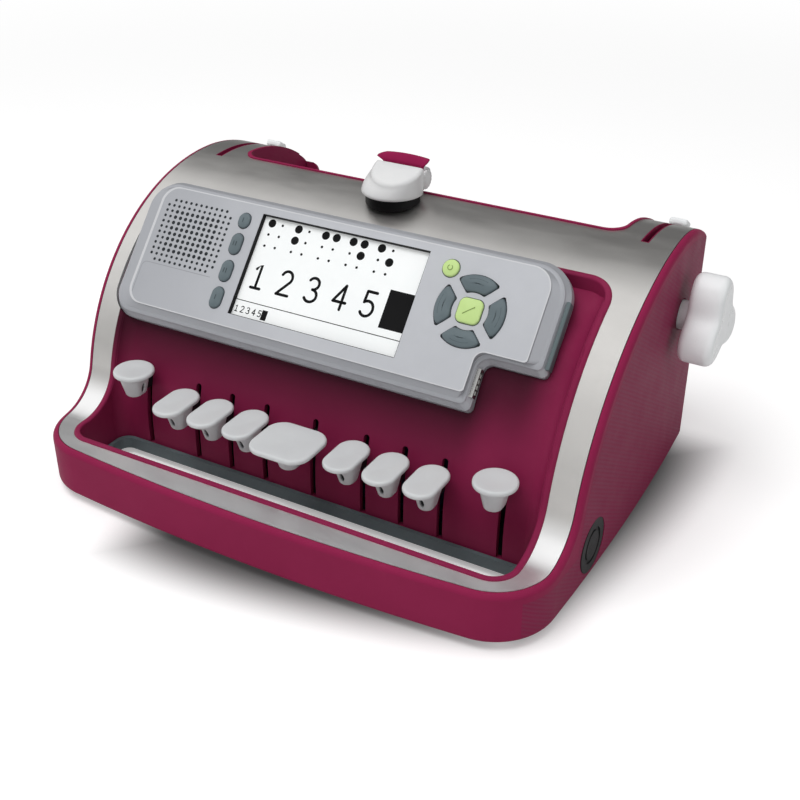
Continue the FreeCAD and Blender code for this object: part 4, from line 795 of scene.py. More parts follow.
# the well's maroon, with painted shade under the display module
MAROON_WELL = Finish("maroon_well", (136, 36, 74), (130, 32, 70), (0.42, 0.52), bump=0.02,
                     grain_scale=1800.0, specular=0.10, pattern=Pattern.SHADE_UNDER_MODULE, dust=0.01)
MAROON_GRIP = Finish("maroon_grip", (150, 30, 78), (142, 26, 72), (0.38, 0.48), bump=0.01,
                     specular=0.12, dust=0.0)
# brushed silver; its low bar is painted lighter, a painted light
SILVER = Finish("cover_silver", (221, 219, 216), (213, 211, 208), (0.30, 0.42), metallic=0.92,
                grain_scale=3000.0, bump=0.012, pattern=Pattern.BRUSHED_WITH_PAINTED_BAR_LIGHT, dust=0.0)
# key grey, with painted shade in the stems' slits
KEY_GREY = Finish("key_grey", (208, 210, 211), (202, 204, 206), (0.30, 0.38), bump=0.01,
                  coat=0.15, pattern=Pattern.PAINTED_RECESS_SHADE, dust=0.0)
KNOB_GREY = Finish("knob_grey", (243, 245, 246), (236, 239, 240), (0.25, 0.34), bump=0.01,
                   coat=0.3, dust=0.0)
CAP_GREY = Finish("cap_grey", (226, 226, 226), (218, 219, 220), (0.26, 0.34), bump=0.008,
                  coat=0.25, dust=0.0)
# the module's grey, with painted shade in the panel's groove and towards its left end
MODULE_GREY = Finish("module_grey", (192, 194, 199), (186, 188, 193), (0.34, 0.42), bump=0.012,
                     grain_scale=3500.0, metallic=0.2, specular=0.45,
                     pattern=Pattern.SHADED_GROOVE, dust=0.0)
BUTTON_SLATE = Finish("button_slate", (95, 108, 113), (84, 97, 102), (0.36, 0.5), bump=0.015,
                      coat=0.1, dust=0.02)
BUTTON_GREEN = Finish("button_green", (196, 223, 144), (188, 216, 136), (0.3, 0.4), bump=0.01,
                      coat=0.2, dust=0.0)
SLATE_MARK = Finish("slate_mark", (58, 68, 72), (52, 62, 66), (0.5, 0.6), bump=0.0, dust=0.0)
GREEN_MARK = Finish("green_mark", (122, 146, 76), (112, 138, 70), (0.5, 0.6), bump=0.0, dust=0.0)
# painted highlight: a light ribbon along the module panel's edge, wider at its left end
PANEL_HIGHLIGHT = Finish("panel_highlight", (207, 208, 211), (201, 202, 205), (0.3, 0.4), bump=0.0,
                    metallic=0.2, dust=0.0)
# painted shade: dark discs in the mouths of the speaker's holes
HOLE_SHADE = Finish("speaker_hole_shade", (50, 53, 56), (42, 45, 48), (0.6, 0.7), bump=0.0, specular=0.1,
              dust=0.0)
SEAM = Finish("cover_seam", (150, 152, 157), (142, 144, 149), (0.5, 0.6), bump=0.0, dust=0.0)
# painted shade in the gap round each push button
BUTTON_GAP_SHADE = Finish("button_gap_shade", (70, 76, 80), (62, 68, 72), (0.6, 0.7), bump=0.0, specular=0.1,
                    dust=0.0)
STRIP = Finish("strip_rubber", (94, 107, 110), (86, 98, 101), (0.5, 0.62), bump=0.03, dust=0.05)
RUBBER = Finish("rubber_dark", (40, 41, 42), (35, 36, 37), (0.5, 0.66), bump=0.05, specular=0.25,
                dust=0.03)
STEEL = Finish("steel", (150, 152, 154), (128, 130, 133), (0.28, 0.45), metallic=1.0, bump=0.02,
               pattern=Pattern.SPOKED)
DARK_STEEL = Finish("dark_steel", (40, 41, 43), (30, 31, 33), (0.4, 0.55), metallic=0.6, bump=0.02)
# black of the carriage disc; where it reaches down to the cover under the cap, its black is also
# painted shade for the cap's shadow
BLACK_DISC_AND_SHADE = Finish("black_slide", (12, 12, 13), (17, 17, 18), (0.45, 0.6), bump=0.02,
                     specular=0.15, dust=0.0)
CARRIAGE = Finish("carriage_metal", (206, 207, 207), (196, 197, 198), (0.35, 0.45), metallic=0.4,
                  bump=0.02)
SCREEN = Finish("screen", (236, 238, 238), (230, 233, 233), (0.3, 0.36), bump=0.0, glow=0.18,
                dust=0.0)
# black of the screen's print, also used for the painted shade on the window's walls
INK_AND_WALL_SHADE = Finish("screen_ink_and_shade", (17, 17, 18), (22, 22, 23), (0.45, 0.55), bump=0.0, specular=0.1,
             dust=0.0)
BOARD = Finish("board_green", (38, 92, 58), (30, 80, 50), (0.35, 0.5), bump=0.03)
CONTACT = Finish("contact_metal", (196, 196, 194), (180, 180, 178), (0.22, 0.34), metallic=1.0,
                 bump=0.01)
PAN = Finish("pan_dark", (58, 60, 62), (50, 52, 54), (0.45, 0.6), bump=0.04)
CELL_WRAP = Finish("cell_wrap", (70, 96, 132), (60, 86, 122), (0.3, 0.4), bump=0.01)

NODE_FINISHES: dict[str, Finish] = {
    "main_housing": MAROON, "key_well": MAROON_WELL, "carriage_grip": MAROON_GRIP,
    "top_cover": SILVER, "carriage_cap": CAP_GREY, "paper_release_left": KNOB_GREY,
    "paper_release_right": KNOB_GREY, "module_front": MODULE_GREY, "module_back": MODULE_GREY,
    "well_edge_strip": STRIP, "module_side_strip": STRIP, "side_plugs": RUBBER,
    "rubber_feet": RUBBER, "feed_roller": RUBBER, "pressure_roller": RUBBER,
    "side_frames": STEEL, "key_shaft": STEEL, "key_return_springs": STEEL, "pan_screws": STEEL,
    "carriage_rails": STEEL, "embossing_head": STEEL, "carriage_frame": CARRIAGE,
    "spring_drum": CARRIAGE, "carriage_disc": BLACK_DISC_AND_SHADE, "lcd_panel": SCREEN,
    "circuit_board": BOARD, "card_port": CONTACT, "base_pan": PAN, "paper_table": PAN,
    "speaker": PAN, "battery_pack": CELL_WRAP,
}


def dress(piece: Piece, finish: Finish) -> None:
    """Gives every material slot of the piece the finish.

    Args:
        piece: the piece, with or without material slots.
        finish: the finish.
    """
    if not piece.data.materials:
        piece.data.materials.append(finish.material())
    for slot in piece.material_slots:
        slot.material = finish.material()


def finished(piece: Piece, finish: Finish, body: str) -> None:
    """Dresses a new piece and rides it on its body.

    Args:
        piece: the piece, at its place at rest.
        finish: what it is dressed in.
        body: the body that it moves with.
    """
    dress(piece, finish)
    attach(piece, body)
    log.info("%s rides on %s in %s", piece.name, body, finish.name)


def on_module(name: str, parts: Sequence[Part], finish: Finish,
              body: str = "casing") -> None:
    """Makes and finishes a piece whose parts are laid out in the display module's plane."""
    finished(merged(name, parts, MODULE_PLANE), finish, body)


# ---- keys ------------------------------------------------------------------
class CapKind(Enum):
    """The three shapes of key cap."""

    DOT = "dot"
    SPACE = "space"
    ROUND = "round"


@dataclass(frozen=True)
class CapSize:
    """Sizes of one kind of cap in millimetres: the cap, its stem and its place."""

    half_w: float
    half_l: float
    corner: float
    total: float
    stem_r: float
    foot_r: float
    stem_back: float
    setback: float
    top: float


CAP_SIZES: dict[CapKind, CapSize] = {
    CapKind.DOT: CapSize(9.0, 15.1, 8.9, 16.7, 6.4, 4.0, 1.5, 46.5, 52.8),
    CapKind.SPACE: CapSize(17.75, 16.4, 10.0, 15.3, 7.4, 5.0, 1.5, 40.4, 54.5),
    CapKind.ROUND: CapSize(11.4, 11.4, 11.3, 15.3, 6.6, 4.7, 0.0, 53.1, 60.2),
}


@dataclass(frozen=True)
class KeyCap:
    """A key's cap and stem, in millimetres about the cap's middle."""

    name: str
    body: str
    x: float
    kind: CapKind
    hole_degrees: Optional[float]
    rim: float = 2.7
    flare: float = 3.2
    stretch: float = 1.3
    edge: float = 1.35
    ledge: float = 0.9
    under_edge: float = 0.7
    foot_edge: float = 0.8
    dish: float = 0.75
    slit_half: tuple[float, float] = (1.5, 3.2)
    slit_depth: float = 2.4
    casing_front: float = -125.0
    casing_foot: float = 4.0
    points_round: int = 168

    @property
    def size(self) -> CapSize:
        """The sizes of this key's kind."""
        return CAP_SIZES[self.kind]

    def outline(self, inset: float) -> np.ndarray:
        """The cap's outline, drawn in all round; its corners keep a radius of 1.5 mm.

        Args:
            inset: how far it is drawn in.

        Returns:
            Outline of n by 2.
        """
        size = self.size
        return rounded_ring(size.half_w - inset, size.half_l - inset,
                            max(size.corner - inset, 1.5), self.points_round)

    def stem(self, radius: float, dip: Optional[np.ndarray] = None) -> np.ndarray:
        """The stem's outline, longer than wide.

        Args:
            radius: half of its width.
            dip: how far each point is pressed in towards the middle.

        Returns:
            Outline of n by 2.
        """
        ring = rounded_ring(radius, radius * self.stretch, radius - 0.1, self.points_round)
        if dip is not None:
            ring = ring * (1 - dip / radius)[:, None]
        return ring + [0.0, self.size.stem_back]

    def rings(self) -> tuple[np.ndarray, np.ndarray]:
        """Rings from the stem's foot up over the cap, and each point's painted shade.

        The stem is a straight taper, pressed in by a lens about hole_degrees.
        The flare goes from the stem's outline to the cap's by 1 - cos a while
        it climbs by sin a. The rim is a quarter arc, a short wall and a larger
        quarter arc. The top is the outline scaled by s towards the middle and
        sunk by dish * (1 - s^2)^2.

        Returns:
            Rings by points by 3, and rings by points of painted shade, 1 in the recess.
        """
        size = self.size
        under = size.top - self.rim
        neck = under - self.flare
        foot = size.top - size.total
        rows, recess_shade = [], []

        def put(ring: np.ndarray, z: float, dark: Optional[np.ndarray] = None) -> None:
            """Adds one ring at a height, with the painted shade of each point."""
            rows.append(at_height(ring, z))
            recess_shade.append(np.zeros(len(ring)) if dark is None else dark)

        for s in (0.3, 0.65):
            put(self.stem(size.foot_r * s), foot)
        for a in np.linspace(0, math.pi / 2, 5):
            put(self.stem(size.foot_r - self.foot_edge + self.foot_edge * math.sin(a)),
                foot + self.foot_edge - self.foot_edge * math.cos(a))
        for t in np.linspace(0.1, 1.0, 28):
            z = foot + (neck - foot) * t
            radius = size.foot_r + (size.stem_r - size.foot_r) * t
            dark = self.lens(radius, z - (neck + foot) / 2)
            # the slit's painted shade grows with its depth
            put(self.stem(radius, self.slit_depth * dark), z, smooth_step(0.15, 0.45, dark))
        throat, ledge = self.stem(size.stem_r), self.outline(self.ledge)
        for a in np.linspace(0.15, math.pi / 2, 9):
            t = 1 - math.cos(a)
            put(throat * (1 - t) + ledge * t, neck + self.flare * math.sin(a))
        for a in np.linspace(0.2, math.pi / 2, 5):
            put(self.outline(self.under_edge * (1 - math.sin(a))),
                under + self.under_edge * (1 - math.cos(a)))
        for a in np.linspace(0, math.pi / 2, 9):
            put(self.outline(self.edge * (1 - math.cos(a))),
                size.top - self.edge + self.edge * math.sin(a))
        inner = self.outline(self.edge)
        for s in np.linspace(0.965, 0.08, 14):
            put(inner * s, size.top - self.dish * (1 - s * s) ** 2)
        return np.stack(rows), np.stack(recess_shade)

    def lens(self, radius: float, height: float) -> np.ndarray:
        """Depth of the stem's slit: 1 along its middle, 0 outside.

        It is 1.3 times 1 less the squared distance in the slit's ellipse, held
        between 0 and 1.

        Args:
            radius: the stem's radius at this ring.
            height: the ring's height over the slit's middle.

        Returns:
            The depth at each point of the ring.
        """
        if self.hole_degrees is None:
            return np.zeros(self.points_round)
        ring = self.stem(radius) - [0.0, self.size.stem_back]
        angle = np.arctan2(ring[:, 1], ring[:, 0])
        turn = (angle - math.radians(self.hole_degrees) + math.pi) % (2 * math.pi) - math.pi
        across = np.sin(turn) * np.linalg.norm(ring, axis=1)
        half_w, half_h = self.slit_half
        depth = 1.3 * (1 - (across / half_w) ** 2 - (height / half_h) ** 2)
        return np.where(np.abs(turn) < 1.2, np.clip(depth, 0, 1), 0.0)

    def build(self) -> None:
        """Makes the cap in its place, with the painted shade of its recess as an attribute of the
        mesh.
        """
        rings, recess_shade = self.rings()
        place = np.array([self.x, self.casing_front + self.size.setback, self.casing_foot])
        piece = closed_tube("cap_" + self.name, (rings + place) * MM)
        values = np.concatenate([recess_shade.reshape(-1), [0.0, 0.0]])
        piece.data.attributes.new("recess_shade", "FLOAT", "POINT").data.foreach_set(
            "value", values.astype(np.float32))
        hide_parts("key_cap_" + self.name)
        finished(piece, KEY_GREY, self.body)


@dataclass(frozen=True)
class Keyboard:
    """The nine keys."""

    dot_first: float = 31.4
    dot_pitch: float = 23.1
    round_x: float = 111.8

    def build(self) -> None:
        """Makes the caps and dresses the levers."""
        rows = [("line_feed", -self.round_x, CapKind.ROUND, 0.0),
                ("space", 0.0, CapKind.SPACE, None),
                ("backspace", self.round_x, CapKind.ROUND, None)]
        for number in range(1, 7):
            side = -1 if number < 4 else 1
            step = (number - 1) % 3
            rows.append((f"dot_{number}", side * (self.dot_first + step * self.dot_pitch),
                         CapKind.DOT, -90.0))
        for name, x, kind, hole in rows:
            KeyCap(name, f"key_{name}", x, kind, hole).build()
            dress(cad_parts[f"key_lever_{name}"], DARK_STEEL)


# ---- paper feed ------------------------------------------------------------
@dataclass(frozen=True)
class FeedKnob:
    """A lobed knob with its hub; side is 1 for the right and -1 for the left."""

    side: int
    lobe_r: float = 26.5
    waist_r: float = 15.5
    lobes: int = 3
    turn_degrees: float = -3.0
    start: float = 159.2
    thick: float = 18.8
    edge: float = 4.4
    hub_r: float = 8.0
    hub_edge: float = 0.4
    hub_start: float = 150.5
    flare: float = 1.0
    # how far before the knob the hub starts to widen, and by how much
    collar: tuple[tuple[float, float], ...] = ((0.8, 0.0), (0.2, 0.3))
    hollow: float = 0.6
    axis: tuple[float, float] = (67.0, 103.0)
    points_round: int = 240

    def outline(self) -> tuple[np.ndarray, np.ndarray]:
        """The lobed outline and its outward normals, both n by 2 as (y, z).

        The radius is mean + swing * cos(lobes * (turn - start)), and the normal
        is the outward direction less the radius's slope along the turn.

        Returns:
            The outline and the normals.
        """
        turn = full_turn(self.points_round)
        mean = (self.lobe_r + self.waist_r) / 2
        swing = (self.lobe_r - self.waist_r) / 2
        phase = self.lobes * (turn - math.radians(self.turn_degrees))
        radius = (mean + swing * np.cos(phase))[:, None]
        slope = (-self.lobes * swing * np.sin(phase))[:, None]
        outward = np.column_stack([np.sin(turn), np.cos(turn)])
        along = np.column_stack([np.cos(turn), -np.sin(turn)])
        return outward * radius, unit(outward * radius - along * slope)

    def rings(self) -> list[tuple[float, np.ndarray]]:
        """Rings from the hub outward: over the inner edge, the rim and the outer edge.

        The edges are quarter arcs along the outline's normals. The face is
        scaled by s towards the shaft and sunk by hollow * (1 - s^2).

        Returns:
            Place along the shaft and outline of each ring.
        """
        edge_line, normal = self.outline()
        circle = unit(edge_line)
        start, end = self.start, self.start + self.thick
        rows = [(self.hub_start, circle * self.hub_r * 0.5),
                (self.hub_start, circle * (self.hub_r - self.hub_edge)),
                (self.hub_start + self.hub_edge, circle * self.hub_r)]
        rows += [(start - before, circle * (self.hub_r + growth)) for before, growth in self.collar]
        rows.append((start, circle * (self.hub_r + self.flare)))
        face = edge_line - normal * self.edge
        for t in (0.35, 0.7):
            rows.append((start, circle * (self.hub_r + self.flare) * (1 - t) + face * t))
        for a in np.linspace(0.0, math.pi / 2, 9):
            rows.append((start + self.edge * (1 - math.cos(a)),
                         edge_line - normal * self.edge * (1 - math.sin(a))))
        for t in (0.2, 0.4, 0.6, 0.8):
            rows.append((start + self.edge + (self.thick - 2 * self.edge) * t, edge_line))
        for a in np.linspace(math.pi / 2, 0.0, 9):
            rows.append((end - self.edge * (1 - math.cos(a)),
                         edge_line - normal * self.edge * (1 - math.sin(a))))
        for share in np.linspace(0.94, 0.08, 12):
            rows.append((end - self.hollow * (1 - share * share), face * share))
        return rows

    def build(self) -> None:
        """Makes the knob; the right one's rings are turned over, to face outward."""
        grid = np.stack([np.column_stack([np.full(len(ring), self.side * x), ring + self.axis])
                         for x, ring in self.rings()])
        if self.side > 0:
            grid = grid[:, ::-1]
        name = "knob_right" if self.side > 0 else "knob_left"
        piece = closed_tube(name, grid * MM)
        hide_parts("feed_knobs")
        finished(piece, KNOB_GREY, "feed")


# ---- carriage --------------------------------------------------------------
@dataclass(frozen=True)
class CarriageCap:
    """The light cap on the carriage: round in front, straight behind."""

    low: float = 152.5
    high: float = 168.6
    low_x: float = -6.9
    high_x: float = -3.9
    low_r: float = 17.8
    high_r: float = 15.0
    middle_y: float = 37.5
    flat: float = 3.0
    tilt_degrees: float = 20.0
    edge: float = 2.4
    foot_edge: float = 0.6
    crown: float = 0.35
    bulge: float = 1.7
    points_round: int = 180

    def outline(self, rise: float, inset: float) -> np.ndarray:
        """Outline at a share of the height: an arc closed by a straight back.

        The radius and the middle go from foot to top with the share to the
        power of the bulge. The corners are softened by the mean of
        each point and its neighbours.

        Args:
            rise: share of the height, 0 at the foot and 1 at the top.
            inset: how far the outline is drawn in.

        Returns:
            Outline of n by 2.
        """
        rise = rise ** self.bulge
        radius = self.low_r + (self.high_r - self.low_r) * rise - inset
        flat = self.flat - inset
        corner = math.asin(flat / radius)
        turn = np.linspace(math.pi - corner, 2 * math.pi + corner, 241)
        front = radius * on_circle(turn)
        ring = evenly(np.concatenate([front, front[:1]]), self.points_round)
        soft = sum(np.roll(ring, shift, axis=0) for shift in (-2, -1, 0, 1, 2)) / 5
        return soft + [self.low_x + (self.high_x - self.low_x) * rise, self.middle_y]

    def top(self, ring: np.ndarray) -> np.ndarray:
        """Height of the sloping top over each point."""
        back = self.middle_y + self.flat - ring[:, 1]
        return self.high - math.tan(math.radians(self.tilt_degrees)) * back

    def build(self) -> None:
        """Makes rings from the foot up the wall, over the edge and in over the top."""
        foot = self.low + self.foot_edge
        rows = [(self.outline(0.0, self.foot_edge), self.low)]
        for rise in np.linspace(0, 1, 6):
            ring = self.outline(rise, 0.0)
            rows.append((ring, foot + (self.top(ring) - self.edge - foot) * rise))
        for a in np.linspace(0.15, math.pi / 2, 8):
            ring = self.outline(1.0, self.edge * (1 - math.cos(a)))
            rows.append((ring, self.top(ring) - self.edge * (1 - math.sin(a))))
        inner = self.outline(1.0, self.edge)
        middle = inner.mean(0)
        for s in (0.9, 0.75, 0.55, 0.35, 0.15):
            ring = middle + (inner - middle) * s
            rows.append((ring, self.top(ring) + self.crown * (1 - s * s)))
        piece = closed_tube("cap_carriage", stacked(rows) * MM)
        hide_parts("carriage_cap")
        finished(piece, CAP_GREY, "carriage")


@dataclass(frozen=True)
class FingerGrip:
    """The maroon finger plate behind the cap, with its flared lip and knuckles."""

    heights: tuple[float, ...] = (160.8, 164.6, 166.6, 167.6, 168.3, 169.2, 170.1, 170.6)
    lefts: tuple[float, ...] = (-16.3, -16.3, -17.2, -19.4, -21.3, -20.6, -18.6, -16.8)
    rights: tuple[float, ...] = (8.2, 8.2, 8.6, 9.3, 10.0, 10.6, 11.0, 10.6)
    fronts: tuple[float, ...] = (43.2, 43.2, 43.3, 43.5, 43.9, 44.5, 45.2, 45.7)
    thick: float = 1.8
    crown: float = 0.9
    wheel: tuple[float, float, float] = (45.2, 159.6, 5.3)
    wheel_teeth: int = 16
    tooth: float = 0.25
    wheel_x: tuple[float, float] = (8.6, 10.3)
    pin: tuple[float, float] = (43.7, 157.7)
    knuckle_r: float = 2.3
    knuckles: tuple[tuple[float, float], ...] = ((-16.2, -12.6), (-1.8, 1.8))
    legs: tuple[tuple[float, float], ...] = ((-16.3, -12.6), (-1.8, 8.2))
    leg_lap: float = 0.8
    foot: float = 153.2

    def sheet(self) -> Part:
        """The plate and its lip: flat rounded rings, each between its two ends.

        Towards the top a ring bows up in its middle by crown * (1 - s^2).

        Returns:
            Points in metres and faces.
        """
        steps = np.linspace(0, len(self.heights) - 1, 36)
        order = np.arange(len(self.heights))
        tables = (self.heights, self.lefts, self.rights, self.fronts)
        height, left, right, front = (np.interp(steps, order, values) for values in tables)
        rows = []
        for z, x0, x1, y, step in zip(height, left, right, front, steps):
            half = (x1 - x0) / 2
            ring = rounded_ring(half, self.thick / 2, self.thick / 2 - 0.05, 120)
            rise = self.crown * (step / order[-1]) ** 2 * (1 - (ring[:, 0] / half) ** 2)
            rows.append((ring + [(x0 + x1) / 2, y + self.thick / 2], z + rise))
        return closed_rings(stacked(rows) * MM)

    def build(self) -> None:
        """Makes the plate, its two legs beside the carriage's arm and a knuckle on each."""
        parts = [self.sheet()]
        for x0, x1 in self.legs:
            outline = rectangle(x0, x1, self.fronts[0], self.fronts[0] + self.thick)
            points, faces = ring_slab(outline, self.foot, self.heights[0] + self.leg_lap)
            parts.append((points * MM, faces))
        circle = self.knuckle_r * on_circle(full_turn(40)) + self.pin
        for x0, x1 in self.knuckles:
            points, faces = ring_slab(circle, x0, x1, 0.3)
            parts.append((points[:, [2, 0, 1]] * MM, faces))
        piece = merged("grip_plate", parts)
        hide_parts("carriage_grip")
        finished(piece, MAROON_GRIP, "grip")

    def build_wheel(self) -> None:
        """Makes the small notched wheel on the carriage beside the grip's right leg.

        The rim's radius is radius + tooth * tanh(2 * sin(wheel_teeth * turn)).
        """
        y, z, radius = self.wheel
        turn = full_turn(self.wheel_teeth * 10)
        rim = radius + self.tooth * np.tanh(2 * np.sin(self.wheel_teeth * turn))
        outline = on_circle(turn) * rim[:, None] + [y, z]
        points, faces = ring_slab(outline, *self.wheel_x, 0.4)
        piece = make_object("grip_wheel", points[:, [2, 0, 1]] * MM, faces)
        finished(piece, CAP_GREY, "carriage")


# ---- push buttons ----------------------------------------------------------
@dataclass(frozen=True)
class SoftButton:
    """A push button with a domed top, in millimetres in the module's plane."""

    node: str
    finish: Finish
    u: float
    v: float
    reach: float
    edge: float = 1.0
    foot: float = -1.2
    shoulder: float = 1.35
    crown: float = 0.4
    # the painted shade in the gap round the button: how far out it starts and ends, its foot and
    # its face
    seam: tuple[float, float] = (0.05, 0.4)
    seam_w: tuple[float, float] = (-0.3, 0.03)
    points_round: int = 96

    def outline(self, inset: float) -> np.ndarray:
        """The button's outline, inset all round."""
        raise NotImplementedError

    def build(self) -> None:
        """Makes rings up the wall, over a quarter arc and up the dome to its middle.

        The dome climbs by crown * (1 - (1 - t)^2) as its outline closes in by t.
        A dark band round the button is painted shade in the gap in the panel.
        """
        wall = self.shoulder - self.edge
        rows = [(self.outline(0.0), w) for w in (self.foot, 0.0, wall)]
        for a in np.linspace(0.2, math.pi / 2, 6):
            rows.append((self.outline(self.edge * (1 - math.cos(a))),
                         wall + self.edge * math.sin(a)))
        for t in np.linspace(0.12, 0.94, 8):
            rows.append((self.outline(self.edge + (self.reach - self.edge) * t),
                         self.shoulder + self.crown * (1 - (1 - t) ** 2)))
        near, far = self.seam
        # painted shade: a dark band in the gap round the button
        rim = band(self.outline(-far), self.outline(-near), *self.seam_w)
        on_module("gap_shade_" + self.node, [rim], BUTTON_GAP_SHADE)
        piece = closed_tube("soft_" + self.node, MODULE_PLANE.to_world(stacked(rows)))
        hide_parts(self.node)
        finished(piece, self.finish, self.node + "_body")


@dataclass(frozen=True)
class BlockButton(SoftButton):
    """A round or rounded oblong button about (u, v).

    Its reach is half of its width and half_v half of its length.
    """

    half_v: float = 0.0
    corner: Optional[float] = None

    def outline(self, inset: float) -> np.ndarray:
        """Rounded rectangle; without a corner of its own it has round ends.

        Args:
            inset: how far it is drawn in.

        Returns:
            Outline of n by 2.
        """
        corner = max((self.corner or self.reach) - inset, 0.3)
        ring = rounded_ring(self.reach - inset, self.half_v - inset, corner, self.points_round)
        return ring + [self.u, self.v]


@dataclass(frozen=True)
class PadButton(SoftButton):
    """A quarter ring of the pad, between parallel gaps along the diagonals."""

    middle_degrees: float = 0.0
    inner_r: float = 10.2
    outer_r: float = 19.0
    gap: float = 6.0

    def outline(self, inset: float) -> np.ndarray:
        """Sector with soft corners: |s|^5 + |t|^5 = 1 in its radius and angle.

        The half angle at a radius r is 45 degrees less asin((gap / 2 + inset) / r).

        Args:
            inset: how far the outline is drawn in.

        Returns:
            Outline of n by 2.
        """
        turn = full_turn(self.points_round)
        cos, sin = np.cos(turn), np.sin(turn)
        size = (np.abs(cos) ** 5 + np.abs(sin) ** 5) ** -0.2
        half_r = (self.outer_r - self.inner_r) / 2 - inset
        radius = (self.inner_r + self.outer_r) / 2 + size * cos * half_r
        half = math.pi / 4 - np.arcsin((self.gap / 2 + inset) / radius)
        angle = math.radians(self.middle_degrees) + size * sin * half
        return on_circle(angle) * radius[:, None] + [self.u, self.v]


@dataclass(frozen=True)
class Buttons:
    """The module's ten push buttons and the marks on them."""

    side_u: float = -72.0
    side_reach: float = 3.65
    # place up the module, half of the length, and the marks' offsets of each side button
    sides: tuple[tuple[float, float, tuple[float, ...]], ...] = (
        (42.5, 4.4, (0.0,)), (28.7, 6.1, (-0.8, 0.8)),
        (12.8, 6.1, (-0.8, 0.8)), (-2.8, 6.1, (0.0,)))
    power: tuple[float, float] = (55.7, 42.4)
    power_r: float = 4.6
    pad: tuple[float, float] = (72.9, 23.1)
    pad_reach: float = 4.4
    pad_names: tuple[str, ...] = ("pad_right", "pad_up", "pad_left", "pad_down")
    select_half: float = 6.6
    select_corner: float = 3.6
    mark_low: float = 1.2
    mark_high: float = 1.84
    pad_drop: float = 0.24
    thick: float = 0.45
    thin: float = 0.4
    bar_half: float = 1.3
    arc_r: float = 16.6
    arc_half_degrees: float = 18.0
    ring_r: float = 1.3
    slant_half: tuple[float, float] = (2.8, 2.2)

    def build(self) -> None:
        """Makes the side buttons, power, select and the pad, in that order."""
        for number, (v, half, _) in enumerate(self.sides, 1):
            BlockButton(f"side_button_{number}", BUTTON_SLATE, self.side_u, v, self.side_reach,
                        half_v=half).build()
        BlockButton("power_button", BUTTON_GREEN, *self.power, self.power_r,
                    half_v=self.power_r).build()
        BlockButton("select_button", BUTTON_GREEN, *self.pad, self.select_half,
                    half_v=self.select_half, corner=self.select_corner).build()
        for quarter, name in enumerate(self.pad_names):
            PadButton(name, BUTTON_SLATE, *self.pad, self.pad_reach,
                      middle_degrees=90 * quarter).build()

    def mark(self, name: str, lines: Sequence[np.ndarray], width: float, button: str,
             drop: float = 0.0) -> None:
        """Thin dark ribbons on a button.

        Args:
            name: the piece's name.
            lines: points of n by 2 of each ribbon.
            width: the ribbons' width.
            button: the button that they ride on.
            drop: how far below the other marks' height they end.
        """
        parts = [stroke(line, width, self.mark_low, self.mark_high - drop) for line in lines]
        green = button in ("power_button", "select_button")
        finish, slot = (GREEN_MARK, "button_green") if green else (SLATE_MARK, "button_slate")
        on_module(name, parts, finish, button + "_body")

    def build_marks(self) -> None:
        """Makes the marks: bars, arcs, a ring and a slanting line."""
        for number, (v, _, offsets) in enumerate(self.sides, 1):
            lines = [np.array([[self.side_u + du, v - self.bar_half],
                               [self.side_u + du, v + self.bar_half]]) for du in offsets]
            self.mark(f"side_mark_{number}", lines, self.thick, f"side_button_{number}")
        for quarter, name in enumerate(self.pad_names):
            line = arc(self.pad, (self.arc_r, self.arc_r), 90 * quarter - self.arc_half_degrees,
                       90 * quarter + self.arc_half_degrees)
            self.mark(name + "_mark", [line], self.thin, name, drop=self.pad_drop)
        ring = arc(self.power, (self.ring_r, self.ring_r), 120, 420)
        self.mark("power_mark", [ring], self.thin, "power_button")
        slant = np.outer((-1, 1), self.slant_half) + self.pad
        self.mark("select_mark", [slant], self.thick, "select_button")


